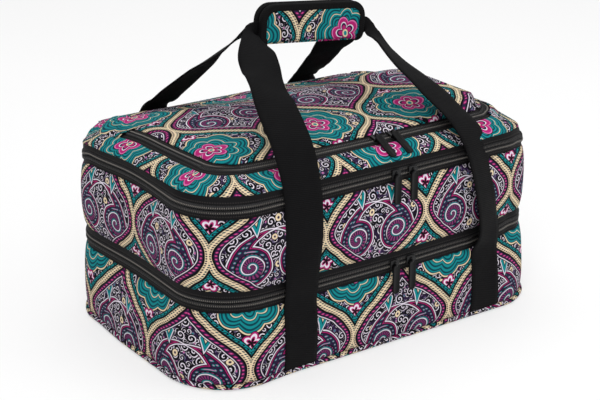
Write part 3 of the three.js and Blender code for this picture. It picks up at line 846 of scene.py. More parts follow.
@dataclass(frozen=True)
class Zip:
    """A coil zip that runs round the carrier at one height."""

    name: str
    outline: Outline
    inset: float
    height: float
    tilt: float
    halves: tuple[str, str]
    window: float = 161.0
    slot_gap: float = 0.25
    coil_wide: float = 4.1
    coil_high: float = 1.5
    coil_out: float = -1.1
    coil_cloth: float = 4.0
    pitch: float = 2.0
    tape_gap: float = 0.5
    tape_out: float = -1.15
    tape_reach: tuple[float, float] = (13.0, 15.5)
    guards: tuple[float, float] | None = None
    guard_over: float = 0.012
    guard_reach: float = 14.3

    @property
    def ends(self) -> tuple[float, float]:
        """Shares of the way round where the zip starts and stops, in front of the hinge."""
        straight = self.outline.half_length - self.outline.radius
        bend = math.asin((self.window - straight) / (self.outline.radius - self.inset))
        start = (straight + self.outline.radius * bend) / self.outline.perimeter
        return start, 1.0 - start

    @property
    def core(self) -> Vector:
        """A point behind the zip."""
        return Vector((0.0, 0.0, self.height - 40.0 * math.cos(self.tilt)))

    def spot(self, share: float, along: float, out: float) -> Vector:
        """A point on the zip.

        Args:
            share: Share of the way round.
            along: Distance from the slot, upwards or inwards along the tape.
            out: Height over the tape.

        Returns:
            The point, in millimetres.
        """
        point, normal = self.outline.at(share)
        height = self.height + along * math.sin(self.tilt) + out * math.cos(self.tilt)
        inset = self.inset + along * math.cos(self.tilt) - out * math.sin(self.tilt)
        inset -= self.outline.stand(share, height)
        spot = point - normal * inset + Vector((0, 0, height)) + self.outline.dip(share, height, inset)
        return self.outline.settle(spot)

    def frame_at(self, x: float) -> Matrix:
        """Axes at a place along the front: along the zip, across it and out of it."""
        turn = Matrix.Rotation(self.tilt, 4, "X")
        return Matrix.Translation(self.spot(self.outline.front(x), 0.0, 0.0)) @ turn

    def build(self, shop: Workshop) -> None:
        """Make both tapes, both halves of the coil and the guards over the ends."""
        for half, side, reach in zip(self.halves, (-1.0, 1.0), self.tape_reach):
            self.build_tape(shop, half, side, reach)
            self.build_coil(shop, half, side)
            if self.guards:
                self.build_guards(shop, half, side)

    def build_tape(self, shop: Workshop, half: str, side: float, reach: float) -> None:
        """Make one tape.

        Args:
            shop: Makes the piece.
            half: Body of this half of the zip.
            side: Minus one below the coil, one above it.
            reach: How far the tape reaches from the coil.
        """
        start, stop = self.ends
        length = (stop - start) * self.outline.perimeter

        def flat(a: float, b: float) -> Flat:
            """Cloth coordinates: along the zip and away from the coil."""
            return a * length, side * (self.tape_gap + b * (reach - self.tape_gap))

        def place(a: float, b: float) -> Vector:
            """A place on the tape."""
            along, away = flat(a, b)
            wave = 0.25 * ripple(along, side * 9, self.height, 30.0) * ease(abs(away), 3.0, 8.0)
            return self.spot(start + a * (stop - start), away, self.tape_out + wave)

        mesh = warp(300, 5, place, flat, self.core)
        shop.fit(f"{self.name}_tape_{half}_cloth", mesh, Slot.TAPE, 0.7, half, f"{self.name}_zip_tape_{half}")

    def build_coil(self, shop: Workshop, half: str, side: float) -> None:
        """Make one ribbed half of the coil.

        Args:
            shop: Makes the piece.
            half: Body of this half of the zip.
            side: Minus one below the slot, one above it.
        """
        start, stop = self.ends
        length = (stop - start) * self.outline.perimeter

        def place(a: float, b: float) -> Vector:
            """A place on the ribbed coil."""
            turn = math.pi * b
            rib = math.cos(TAU * (a * length / self.pitch - side / 4))
            across = self.slot_gap + self.coil_wide * (1 - math.cos(turn)) / 2
            out = self.coil_out + self.coil_high * math.sin(turn) * (0.8 + 0.2 * rib)
            return self.spot(start + a * (stop - start), side * (across - 0.3 * rib * math.cos(turn)), out)

        mesh = warp(2200, 6, place, lambda a, b: (a * length, b * self.coil_cloth), self.core)
        shop.fit(f"{self.name}_coil_{half}_ribs", mesh, Slot.COIL, 0.0, half, f"{self.name}_zip_coil_{half}")

    def build_guards(self, shop: Workshop, half: str, side: float) -> None:
        """Make the printed guards that cover one half of the zip at its two rear ends.

        Args:
            shop: Makes the pieces.
            half: Body of this half of the zip.
            side: Minus one below the coil, one above it.
        """
        start, stop = self.ends
        left, right = self.guards
        for end, first, last in ((Side.LEFT, start - self.guard_over, left),
                                 (Side.RIGHT, right, stop + self.guard_over)):

            def place(a: float, b: float, first: float = first, last: float = last) -> Vector:
                """A place on the guard, from the coil to the cloth."""
                share = first + a * (last - first)
                inner = 0.3 + 4.7 * (1 - ease(share, 0.688, 0.704)) * ease(share, 0.5, 0.6)
                away = inner + b * (self.guard_reach - inner)
                wave = 0.2 * ripple(a * 110.0, side * 7, b * 9, 12.0)
                return self.spot(share, side * away, 1.5 - 2.6 * ease(away, 8.5, self.guard_reach) + wave)

            mesh = warp(60, 8, place, from_above(place), Vector())
            area = area_of(mesh)
            made = shop.piece(f"{self.name}_guard_{half}_{end.value}", mesh, Slot.PRINT, STRIP)
            length = (last - first) * self.outline.perimeter * MM * 1.02
            shop.ride(made, half)


def from_above(place: Place) -> Spread:
    """Cloth coordinates of a piece of the top, seen from above, so that the print runs on between pieces."""
    def flat(a: float, b: float) -> Flat:
        """Cloth coordinates of one place."""
        spot = place(a, b)
        return spot.x + 30.0, spot.y + 64.0

    return flat


@dataclass(frozen=True)
class Swell:
    """How far a wall's cloth stands out at the front, the ends and the back, in millimetres."""

    front: float
    end: float
    back: float

    def at(self, normal: Vector) -> float:
        """Swell for a wall that faces a given way."""
        return normal.x ** 2 * self.end + normal.y ** 2 * (self.front if normal.y < 0 else self.back)


BASE_SWELL = Swell(3.2, 3.6, 0.8)


def fullness(share: float) -> float:
    """How much of its swell a wall has at a share of its height."""
    return 1.0 - abs(2 * share - 1) ** 2.6


@dataclass(frozen=True)
class Ring:
    """One round of a surface: how far in, how high, and how much of the outline is left."""

    inset: float
    height: float
    share: float = 1.0


@dataclass(frozen=True)
class Rounds:
    """A surface that goes round the carrier through a list of rounds."""

    outline: Outline
    rings: Sequence[Ring]
    swell: Swell = Swell(0.0, 0.0, 0.0)
    seed: float = 0.0
    dents: float = 0.6
    shift: Flat = (0.0, 0.0)

    @property
    def profile(self) -> list[float]:
        """Length along the profile at each round."""
        steps = [0.0]
        for one, two in zip(self.rings, self.rings[1:]):
            side = (one.share - two.share) * self.outline.half_width
            steps.append(steps[-1] + math.hypot(two.inset - one.inset + side, two.height - one.height))
        return steps

    def place(self, a: float, b: float) -> Vector:
        """A place on the surface."""
        index = round(b * (len(self.rings) - 1))
        ring = self.rings[index]
        point, normal = self.outline.at(a)
        steps = self.profile
        puff = fullness(steps[index] / steps[-1])
        edge = min(steps[index], steps[-1] - steps[index])
        way = a * self.outline.perimeter
        soft = ripple(point.x + self.seed, point.y, ring.height, 55.0) * self.dents * puff
        pucker = ripple(way + self.seed * 3, 0.0, ring.height * 0.2, 11.0) * math.exp(-edge / 7.0)
        tuck = 0.8 * math.exp(-(edge / 1.6) ** 2) if self.swell.front else 0.0
        out = self.swell.at(normal) * puff + soft + pucker * self.dents * 0.55 - tuck
        stand = self.outline.stand(a, ring.height) + out
        sink = self.outline.dip(a, ring.height, ring.inset) * (ring.share == 1.0)
        spot = (point - normal * (ring.inset - stand)) * ring.share + Vector((0, 0, ring.height)) + sink
        return self.outline.settle(spot)

    def flat(self, a: float, b: float) -> Flat:
        """Cloth coordinates that run round and up."""
        index = round(b * (len(self.rings) - 1))
        return a * self.outline.perimeter + self.shift[0], self.profile[index] + self.shift[1]

    def plan(self, a: float, b: float) -> Flat:
        """Cloth coordinates seen from above."""
        spot = self.place(a, b)
        return spot.x + self.shift[0], spot.y + self.shift[1]

    def mesh(self, core: Vector, steps: int, spread: Spread) -> Mesh:
        """Make the surface's mesh with one of its two kinds of cloth coordinates."""
        return warp(steps, len(self.rings) - 1, self.place, spread, core)


def upright(foot: float, head: float, rows: int) -> list[Ring]:
    """Rounds of an upright wall."""
    return [Ring(0.0, foot + (head - foot) * row / rows) for row in range(rows + 1)]


def closed(inset: float, height: float, rows: int = 8) -> list[Ring]:
    """Rounds that close a floor to its middle."""
    return [Ring(inset, height, 1.0 - row / rows) for row in range(1, rows + 1)]


def tub(rim: float, floor: float, rim_in: float = 1.6, wall_in: float = 7.4) -> list[Ring]:
    """Rounds of a lined tub: over the rim, down the wall and over the floor.

    Args:
        rim: Height of the rim.
        floor: Height of the floor.
        rim_in: How far the lining starts inside the outline.
        wall_in: How far inside the outline the wall stands.

    Returns:
        The rounds, from the rim to the middle of the floor.
    """
    rings = [Ring(rim_in, rim - 0.6), Ring(rim_in + 1.2, rim + 0.5), Ring((rim_in + wall_in) / 2, rim + 0.8)]
    rings += [Ring(wall_in - 0.8, rim + 0.3), Ring(wall_in, rim - 2.0)]
    rings += [Ring(wall_in + 0.2, rim - 2.0 - (rim - floor - 9.0) * row / 6) for row in range(1, 7)]
    rings += [Ring(wall_in + 1.2, floor + 3.6), Ring(wall_in + 3.6, floor + 1.0), Ring(wall_in + 8.0, floor)]
    return rings + closed(wall_in + 8.0, floor)


def plate(inset: float, height: float) -> list[Ring]:
    """Rounds of a plate that is closed to its middle."""
    return [Ring(inset, height), Ring(inset + 2.0, height), *closed(inset + 2.0, height)]


@dataclass
class Decks:
    """The printed walls, hinge strips and linings of the two decks and the lid."""

    outline: Outline
    lower: float
    middle: float
    top: float
    cloth: float = 1.0
    slant: float = 0.45
    shoulder_in: float = 22.5
    welt_high: float = 3.7
    welt_radius: float = 2.5

    def wall(self, shop: Workshop, name: str, rounds: Rounds, body: str, node: str) -> None:
        """Make one printed wall as a sheet with thickness.

        Args:
            shop: Makes the piece.
            name: The piece's name.
            rounds: Its surface.
            body: The body it rides on.
            node: The node it stands for.
        """
        middle = (rounds.rings[0].height + rounds.rings[-1].height) / 2
        mesh = rounds.mesh(Vector((0.0, 0.0, middle)), WALL_STEPS, rounds.flat)
        area = area_of(mesh)
        made = shop.piece(name, mesh, Slot.PRINT, self.cloth)
        width = self.outline.perimeter * MM * 1.02
        flat = (width, max(rounds.profile[-1] * MM, area / width) * 1.01)
        shop.ride(made, body, node)

    def lining(self, shop: Workshop, name: str, rings: list[Ring], body: str, far: float,
               *nodes: str) -> None:
        """Make one silver lining, a tub or a plate.

        Args:
            shop: Makes the piece.
            name: The piece's name.
            rings: Its rounds, from the rim to the middle.
            body: The body it rides on.
            far: Height over the lining of a point behind it.
            nodes: The nodes it stands for.
        """
        rounds = Rounds(self.outline, rings, seed=len(name) * 31.0, dents=0.5)
        mesh = rounds.mesh(Vector((0.0, 0.0, rings[-1].height + far)), LINING_STEPS, rounds.plan)
        area = area_of(mesh)
        made = shop.piece(name, mesh, Slot.LINER, FILM)
        reach = 2 * rounds.profile[-1] - self.outline.half_width * 2
        flat = ((self.outline.half_length * 2 + reach) * MM, (self.outline.half_width * 2 + reach) * MM)
        min(area, flat[0] * flat[1])
        shop.ride(made, body, *nodes)

    def build(self, shop: Workshop) -> None:
        """Make every wall, welt and lining."""
        rings = upright(WALL_FOOT, self.lower - LIP_LOW, 22)
        base = Rounds(self.outline, rings, BASE_SWELL, 3.0, 0.9, (0.0, 60.0))
        self.wall(shop, "base_wall_cloth", base, "base", "base_outer_shell")
        rings = upright(self.lower + LIP_HIGH, self.middle - LIP_LOW, 22)
        tray = Rounds(self.outline, rings, Swell(3.4, 3.8, 0.8), 41.0, 0.9, (35.0, 36.0))
        self.wall(shop, "tray_wall_cloth", tray, "tray", "tray_outer_shell")
        self.build_shoulder(shop)
        self.build_foot(shop)
        self.build_linings(shop)
        self.build_hinges(shop)

    def build_shoulder(self, shop: Workshop) -> None:
        """Make the sloping printed shoulder of the lid."""
        rings = []
        low, high = self.middle + LIP_HIGH, self.top - 3.2
        for row in range(15):
            share = row / 14
            arcs = (1 - math.cos(QUARTER * share), math.sin(QUARTER * share))
            inwards, up = (arc * (1 - self.slant) + share * self.slant for arc in arcs)
            rings.append(Ring(self.shoulder_in * inwards, low + (high - low) * up))
        shoulder = Rounds(self.outline, rings, Swell(1.4, 0.6, 0.3), 77.0, 0.6, (71.0, 128.0))
        self.wall(shop, "lid_shoulder_cloth", shoulder, "lid", "lid_shoulder")

    def build_foot(self, shop: Workshop) -> None:
        """Make the printed welt and the bottom panel."""
        def welt(a: float, b: float) -> Vector:
            """A place on the piping."""
            point, normal = self.outline.at(a)
            out = 0.8 + self.outline.stand(a, self.welt_high) + math.cos(TAU * b) * self.welt_radius
            up = self.welt_high + self.welt_radius * math.sin(TAU * b)
            return point + normal * out + Vector((0, 0, up))

        length = self.outline.perimeter
        core = Vector((0.0, 0.0, self.welt_high))
        mesh = warp(WALL_STEPS, 12, welt, lambda a, b: (a * length + 20.0, b * 16.0 + 90.0), core)
        shop.fit("base_welt_piping", mesh, Slot.PRINT, 0.0, "base", "base_welt")
        rounds = Rounds(self.outline, plate(0.5, 1.3), dents=0.2)
        mesh = rounds.mesh(Vector((0.0, 0.0, 500.0)), LINING_STEPS, rounds.plan)
        shop.fit("base_bottom_cloth", mesh, Slot.PRINT, 0.9, "base", "base_bottom_panel")

    def build_linings(self, shop: Workshop) -> None:
        """Make the silver linings and dress the board under the base's floor."""
        under, over = -500.0, 500.0
        for body in ("base", "tray"):
            low, high = node_box(f"{body}_liner")
            rings = tub(high.z, low.z + 0.8)
            self.lining(shop, f"{body}_lining", rings, body, under, f"{body}_foam", f"{body}_liner")
        for body, *others in (("tray",), ("lid", "lid_foam")):
            node = f"{body}_underside_lining"
            rings = plate(2.4, node_box(node)[0].z)
            self.lining(shop, f"{body}_underside", rings, body, over, node, *others)
        floor = node_box("lid_pocket_lining")[1].z
        rim = self.top - 4.6
        rings = [Ring(20.5, rim), Ring(22.0, rim - 0.4), Ring(23.0, rim - 2.4), Ring(24.5, floor + 0.8)]
        rings += [Ring(28.0, floor), *closed(28.0, floor)]
        self.lining(shop, "lid_pocket", rings, "lid", under, "lid_pocket_lining")
        board = frame["nodes"]["base_stiffener_board"]
        board.data.materials.clear()
        board.data.materials.append(shop.finishes[Slot.BOARD])

    def build_hinges(self, shop: Workshop) -> None:
        """Make the printed strips that cross the two deck hinges."""
        half, bend, back = 165.0, 3.5, self.outline.half_width * MM
        foot, head = -LIP_LOW - 3.0, LIP_HIGH + 3.0
        for name, height, low, high in (("lower_hinge", self.lower, "base", "tray"),
                                        ("middle_hinge", self.middle, "tray", "lid")):

            def strip(a: float, b: float, height: float = height) -> Vector:
                """A place on the strip."""
                point, normal = self.outline.at((2 * a - 1) * half / self.outline.perimeter)
                up = foot + (head - foot) * b
                out = 0.55 + 0.2 * math.exp(-((up / 5.0) ** 2))
                return self.outline.settle(point + normal * out + Vector((0, 0, height + up)))

            core = Vector((0.0, 0.0, height))
            mesh = warp(70, 16, strip, lambda a, b: (a * 2 * half + 12.0, b * 27.0 + 60.0), core)
            area = area_of(mesh)
            made = shop.piece(f"{name}_cloth", mesh, Slot.PRINT, STRIP)
            area / 0.333
            (height - bend) * MM
            (height + bend) * MM
            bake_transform(made)


@dataclass
class Flap:
    """The padded top flap and the strip that hinges it."""

    outline: Outline
    edge: float = 39.0
    foot: float = 211.2
    lip: float = 4.6
    crown: float = 7.2
    sag: float = 2.4
    lift: float = 9.5
    strip_half: float = 160.0
    strip_in: float = 18.0
    strip_wide: float = 28.0
    strip_high: float = 206.9
    strip_slope: float = 0.27
    steps: tuple[float, ...] = (0.0, 0.8, 1.8, 3.0, 4.6, 6.6, 9.0, 12.0, 16.0, 21.0, 27.0)
    rows: int = 24

    def height(self, x: float, y: float, away: float) -> float:
        """Height of the flap's top.

        Args:
            x: Place along the flap.
            y: Place across it.
            away: Distance from its edge.

        Returns:
            The height over the table, in millimetres.
        """
        rise = self.lip * (1 - math.exp(-away / 4.5)) + self.crown * ease(away, -20.0, 95.0)
        rear = self.sag * ease(y, 10.0, 100.0) * ease(away, -10.0, 12.0)
        right = self.lift * ease(x, 80.0, 168.0) * ease(away, 0.0, 7.0) * (1 - ease(y, 20.0, 95.0))
        dents = 0.9 * ripple(x, y, 9.0, 60.0) * ease(away, 2.0, 20.0)
        puckers = 0.25 * ripple(x, y, 3.0, 9.0) * math.exp(-away / 8.0)
        return self.foot + rise - rear + right + dents + puckers

    def cover(self, a: float, b: float) -> Vector:
        """A place on the cover, in rows that are close together near the edge."""
        row, last = round(b * self.rows), len(self.steps) - 1
        point, normal = self.outline.at(a)
        rim = point - normal * (self.edge - self.outline.stand(a, self.foot))
        deep, close = rim.dot(normal), self.steps[last]
        away = self.steps[row] if row <= last else close + (deep - close) * (row - last) / (self.rows - last)
        flat = rim * (1.0 - min(away / deep, 1.0))
        return self.outline.settle(Vector((flat.x, flat.y, self.height(flat.x, flat.y, away))))

    def strip(self, a: float, b: float) -> Vector:
        """A place on the hinge strip, from the shoulder to the flap."""
        point, normal = self.outline.at((2 * a - 1) * self.strip_half / self.outline.perimeter)
        run = self.strip_wide * b
        height = self.strip_high + run * self.strip_slope + 0.5 * math.sin(math.pi * b)
        return self.outline.settle(point - normal * (self.strip_in + run) + Vector((0, 0, height)))

    def build(self, shop: Workshop) -> None:
        """Make the cover, the lining and the hinge strip."""
        mesh = warp(WALL_STEPS, self.rows, self.cover, from_above(self.cover), Vector())
        made = shop.piece("flap_cover_cloth", mesh, Slot.PRINT, 1.0)
        shop.ride(made, "flap", "flap_cover", "flap_padding")
        rounds = Rounds(self.outline, plate(self.edge + 4.0, node_box("flap_lining")[0].z), dents=0.4)
        mesh = rounds.mesh(Vector((0.0, 0.0, 900.0)), LINING_STEPS, rounds.plan)
        area = area_of(mesh)
        made = shop.piece("flap_underside", mesh, Slot.LINER, FILM)
        halves = (self.outline.half_length, self.outline.half_width)
        flat = tuple((half - self.edge) * 2 * MM for half in halves)
        min(area, flat[0] * flat[1])
        shop.ride(made, "flap", "flap_lining")
        length = 2 * self.strip_half
        mesh = warp(70, 14, self.strip, lambda a, b: (a * length + 40.0, b * 29.0 + 20.0), Vector())
        made = shop.piece("flap_hinge_cloth", mesh, Slot.PRINT, STRIP)
        hinge, bend = joint_place("flap_open"), Vector((0, 3.5, -1.0))
        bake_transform(made)


# Handles


def running_lengths(points: Sequence[Vector], power: float = 1.0) -> list[float]:
    """Sum of the steps up to each point, each step raised to a power."""
    lengths = [0.0]
    for one, two in zip(points, points[1:]):
        lengths.append(lengths[-1] + (two - one).length ** power)
    return lengths


def smooth_route(points: Sequence[Vector], count: int, fine: int = 40) -> list[Vector]:
    """Evenly spaced points on a curve through all the given ones.

    Args:
        points: The places that the curve goes through.
        count: Steps to return.
        fine: Steps worked out between two places.

    Returns:
        One point more than the count.
    """
    knots = running_lengths(points, 0.5)
    ends = [points[0] * 2 - points[1], *points, points[-1] * 2 - points[-2]]
    times = [-knots[1], *knots, 2 * knots[-1] - knots[-2]]
    dense: list[Vector] = []
    for index in range(len(points) - 1):
        one, two, three, four = times[index:index + 4]
        spans = (((one, two), (two, three), (three, four)), ((one, three), (two, four)), ((two, three),))
        for step in range(fine):
            now = two + (three - two) * step / fine
            level = ends[index:index + 4]
            for row in spans:
                level = [a.lerp(b, (now - start) / (stop - start))
                         for a, b, (start, stop) in zip(level, level[1:], row)]
            dense.append(level[0])
    dense.append(points[-1])
    return resample(dense, count)


def resample(points: Sequence[Vector], count: int) -> list[Vector]:
    """Points at equal distances along a polyline.

    Args:
        points: The polyline's points.
        count: Steps to return.

    Returns:
        One point more than the count.
    """
    lengths = running_lengths(points)
    spots, index = [], 0
    for step in range(count + 1):
        want = lengths[-1] * step / count
        while index < len(points) - 2 and lengths[index + 1] < want:
            index += 1
        span = max(lengths[index + 1] - lengths[index], 1e-9)
        spots.append(points[index].lerp(points[index + 1], min((want - lengths[index]) / span, 1.0)))
    return spots


@dataclass
class Ribbon:
    """A flat strap along a route, with a chosen face and width at each step."""

    route: list[Vector]
    faces: list[Vector]
    twists: list[float]
    widths: list[float]
    cup: float = 0.6
    flat_width: float = 38.0
    lay: Callable[[Vector], Vector] | None = None

    def axes(self) -> list[tuple[Vector, Vector]]:
        """Direction across the strap and out of its face at each step."""
        made, last = [], len(self.route) - 1
        for index, (face, twist) in enumerate(zip(self.faces, self.twists)):
            ahead = (self.route[min(index + 1, last)] - self.route[max(index - 1, 0)]).normalized()
            face = (face - ahead * face.dot(ahead)).normalized()
            across = ahead.cross(face) * math.cos(twist) + face * math.sin(twist)
            made.append((across, across.cross(ahead)))
        return made

    def mesh(self) -> Mesh:
        """Make the strap's mesh."""
        count, run, axes = len(self.route) - 1, running_lengths(self.route), self.axes()

        def place(a: float, b: float) -> Vector:
            """A place on the strap."""
            index = round(b * count)
            across, face = axes[index]
            off = 2 * a - 1
            spot = self.route[index] + across * off * self.widths[index] / 2 - face * self.cup * off * off
            return self.lay(spot) if self.lay else spot

        def flat(a: float, b: float) -> Flat:
            """Cloth coordinates across and along the strap."""
            return (a - 0.5) * self.flat_width, run[round(b * count)]

        mesh = warp(8, count, place, flat, Vector())
        mesh.faces.ensure_lookup_table()
        mesh.normal_update()
        middle = mesh.faces[len(mesh.faces) // 2]
        near = min(range(count + 1), key=lambda i: (self.route[i] * MM - middle.calc_center_median()).length)
        if middle.normal.dot(axes[near][1]) < 0:
            bmesh.ops.reverse_faces(mesh, faces=mesh.faces)
        return mesh


@dataclass
class Handles:
    """The two webbing handles: sewn legs, free loops and their stitching."""

    outline: Outline
    grip: Matrix
    lower: float
    middle: float
    width: float = 38.0
    thick: float = 1.6
    grip_width: float = 22.0
    neck: float = 14.0
    spread: float = 54.0
    grip_half: float = 66.0
    layer: float = 0.95
    seat: float = -4.0
    stitch: float = 64.0
    out: float = 1.3
    foot: float = 6.4
    rear_out: float = 2.3
    rear_cut: float = 128.0
    steps: int = 300
    rear_steps: int = 60
    front_x: Flat = (-107.0, 132.0)
    rear_x: Flat = (-95.0, 105.0)

    def strap_out(self, x: float, height: float) -> float:
        """How far a sewn strap stands out from the outline, over the base's swell."""
        share = min(max((height - WALL_FOOT) / (self.lower - LIP_LOW - WALL_FOOT), 0.0), 1.0)
        swell = BASE_SWELL.front * fullness(share)
        return self.out + swell + self.outline.stand(self.outline.front(x), height)

    def half(self, x: float, hand: float, side: float, start: Sequence[Flat], lean: Sequence[tuple],
             turn: Sequence[tuple]) -> list[Vector]:
        """Points of half a loop, from its foot to the grip.

        Args:
            x: Place of the foot along the wall.
            hand: Minus one on the left, one on the right.
            side: Minus one at the front, one at the back.
            start: Distance out of the wall and height of the first points.
            lean: Distance to the middle, inwards and over the lid's zip of the next ones.
            turn: Distance before the grip, out of its layer and under it of the last ones.

        Returns:
            The points, in order.
        """
        face = self.outline.half_width
        points = [Vector((x, side * (face + out), height)) for out, height in start]
        for across, inwards, up in lean:
            points.append(Vector((x - hand * across, side * (face - inwards), self.middle + up)))
        for before, out, down in (*turn, (-16.0, 0.0, 0.0)):
            local = Vector((hand * (self.grip_half + before), side * (self.layer + out), self.seat - down))
            points.append(self.grip @ local)
        return points

    def loop(self, left: list[Vector], right: list[Vector], side: float, left_twist: Twist,
             right_twist: Twist) -> Ribbon:
        """A whole loop that narrows in the grip.

        Args:
            left: Points of the left half, from its foot.
            right: Points of the right half, from its foot.
            side: Minus one at the front, one at the back.
            left_twist: Turn of the left strap at a place, in degrees.
            right_twist: Turn of the right strap at a place, in degrees.

        Returns:
            The loop, ready to be meshed.
        """
        middle = self.grip @ Vector((0.0, side * self.layer, self.seat))
        route = smooth_route([*left, middle, *reversed(right)], self.steps)
        ends = [self.grip @ Vector((hand * self.grip_half, 0.0, 0.0)) for hand in (-1.0, 1.0)]
        twists, widths, faces = [], [], []
        for index, point in enumerate(route):
            on_left = index < self.steps // 2
            inside = ends[0].x < point.x < ends[1].x and side * point.y < 6.0
            reach = min((end - point).length for end in ends)
            away = 0.0 if inside else reach
            full, start, stop = (self.grip_width, 2.0, 18.0) if inside else (self.width, 9.0, self.spread)
            widths.append(self.neck + (full - self.neck) * ease(reach, start, stop))
            twist = left_twist if on_left else right_twist
            twists.append(math.radians(twist(point)) * ease(away, 9.0, 40.0))
            rise = ease(away, 4.0, 22.0) * (1 - ease(away, 45.0, 90.0)) * (on_left or side > 0)
            faces.append(Vector((0.0, side, 0.0)).lerp(Vector((0.0, side * 0.4, 0.9)), rise))
        return Ribbon(route, faces, twists, widths)

    def build(self, shop: Workshop) -> None:
        """Make both handles."""
        for side, x in zip(Side, self.front_x):
            self.stitches(shop, f"front_leg_{side.value}_stitches", x)
        self.front_loop(shop)
        self.rear_straps(shop)
        self.rear_loop(shop)

    def stitches(self, shop: Workshop, name: str, x: float) -> None:
        """Make a box of stitches where a front strap is sewn down.

        Args:
            shop: Makes the piece.
            name: The piece's name.
            x: Place of the strap along the front.
        """
        mesh = bmesh.new()
        mesh.loops.layers.uv.new(UV_NAME)
        wide, low, high = self.width / 2 - 3.0, 40.0, self.stitch - 1.5
        corners = (-wide, high), (wide, high), (-wide, low), (wide, low)
        for first, last in ((0, 1), (2, 3), (2, 0), (3, 1), (2, 1), (0, 3)):
            one, two = corners[first], corners[last]
            count = max(int(math.dist(one, two) / 3.2), 2)
            turn = Matrix.Rotation(-math.atan2(two[1] - one[1], two[0] - one[0]), 4, "Y")
            for step in range(count):
                across, height = (a + (b - a) * ((step + 0.5) / count) for a, b in zip(one, two))
                out = self.strap_out(x + across, height) + 0.85
                spot = Matrix.Translation((x + across, -(self.outline.half_width + out), height))
                shape = spot @ turn @ Matrix.Diagonal((2.3, 0.5, 0.6, 1.0))
                bmesh.ops.create_icosphere(mesh, subdivisions=1, radius=0.5, matrix=shape)
        shop.fit(name, set_down(mesh, Matrix()), Slot.WEBBING, 0.0, "base")

    def front_loop(self, shop: Workshop) -> None:
        """Make the front handle, free above its stitches."""
        heights = (self.foot, 14.0, 26.0, 40.0, 52.0, self.stitch)
        legs = [[(self.strap_out(x, height), height) for height in heights] for x in self.front_x]
        low, high = (8.6, self.lower + 10.0), (10.4, self.middle - 2.0)
        left = self.half(self.front_x[0], -1.0, -1.0, [*legs[0], low, high],
                         ((-3, 0, 43), (2, 39, 80), (12, 70, 95), (23, 99, 107)),
                         ((16, 14, 7), (10, 3, 2), (6, 0.2, 0.5)))
        right = self.half(self.front_x[1], 1.0, -1.0, [*legs[1], low],
                          ((14, -5.8, -7), (24, 1, 25), (30, 34, 47.5), (37, 62, 64.5), (43, 94, 80.5)),
                          ((12, 24, 16), (10, 8, 8), (7, 0.2, 2)))

        def left_twist(point: Vector) -> float:
            """The left strap turns towards the front left above the lid."""
            turn = 15.0 * ease(point.z, 90.0, 150.0) + 16.0 * ease(point.z, 200.0, 240.0)
            return turn * ease(-point.y, 10.0, 60.0)

        def right_twist(point: Vector) -> float:
            """The right strap turns away to the right, more so near the grip."""
            return 23.0 * ease(point.z, 60.0, 110.0) + 20.0 * ease(point.z, 205.0, 270.0)

        def lie(spot: Vector) -> Vector:
            """Lay the sewn stretches on the wall."""
            sewn = Vector((spot.x, -self.outline.half_width - self.strap_out(spot.x, spot.z), spot.z))
            return sewn.lerp(spot, ease(spot.z, self.stitch - 6.0, self.stitch + 26.0))

        ribbon = self.loop(left, right, -1.0, left_twist, right_twist)
        ribbon.lay = lie
        made = shop.piece("front_handle_webbing", ribbon.mesh(), Slot.WEBBING, self.thick, 0.0)
        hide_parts("front_handle_loop", "front_leg_left", "front_leg_right")
        front = -(self.outline.half_width + 1.1) * MM
        ends = [(0.0, front, height * MM) for height in (self.stitch, self.stitch + 16.0)]
        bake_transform(made)

    def rear_straps(self, shop: Workshop) -> None:
        """Make the rear handle's stretches that are sewn up the back, over both hinges."""
        face, bend, points = self.outline.half_width, 4.0, self.rear_steps + 1
        faces, twists, widths = [Vector((0, 1, 0))] * points, [0.0] * points, [self.width] * points
        for side, x in zip(Side, self.rear_x):
            for name, low, high, hinge, bodies in (
                    ("rear_leg", self.foot, self.rear_cut, self.lower, ("base", "tray")),
                    ("rear_tray_strap", self.rear_cut, self.middle + 4.2, self.middle, ("tray", "lid"))):
                heights = [low + (high - low) * i / self.rear_steps for i in range(points)]
                route = [Vector((x, face + self.rear_out, height)) for height in heights]
                mesh = Ribbon(route, faces, twists, widths, cup=0.1).mesh()
                node = f"{name}_{side.value}"
                made = shop.piece(f"{node}_webbing", mesh, Slot.WEBBING, self.thick, 0.0)
                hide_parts(node)
                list(bodies)
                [(0.0, face * MM, (hinge + way) * MM) for way in (-bend, bend)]
                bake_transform(made)

    def rear_loop(self, shop: Workshop) -> None:
        """Make the rear handle's loop, free above the lid's zip."""
        foot = [(3.2, self.middle + 1.6)]
        left = self.half(self.rear_x[0], -1.0, 1.0, foot,
                         ((-1, -4.8, 8.5), (-2, 6.2, 19), (0, 24, 31.5), (2, 37, 42), (6, 57, 58),
                          (11, 79, 76), (15, 97, 91), (18, 117, 104)),
                         ((12, 8, 9), (7, 0.2, 2)))
        right = self.half(self.rear_x[1], 1.0, 1.0, foot,
                          ((3, -4.8, 8.5), (6, 6.2, 19), (10, 22, 29), (14, 37, 39), (20, 62, 58),
                           (26, 97, 85)),
                          ((10, 22, 14), (9, 7, 6), (7, 0.2, 0.8)))
        ribbon = self.loop(
            left, right, 1.0,
            lambda point: -8.0 * ease(point.z, 187.0, 215.0) - 14.0 * ease(point.z, 205.0, 270.0),
            lambda point: -18.0 * ease(point.z, 187.0, 215.0))
        made = shop.piece("rear_handle_webbing", ribbon.mesh(), Slot.WEBBING, self.thick, 0.0)
        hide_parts("rear_handle_loop")
        start, face = (self.middle + 4.3) * MM, self.outline.half_width
        (face + self.rear_out) * MM
        (face + 5.0) * MM
        start + 0.014
        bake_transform(made)


@dataclass(frozen=True)
class GripHalf:
    """One half of the grip: minus one or one for front or back, its body, and the words in its names."""

    side: float
    body: str
    name: str
    node: str
    closing: str


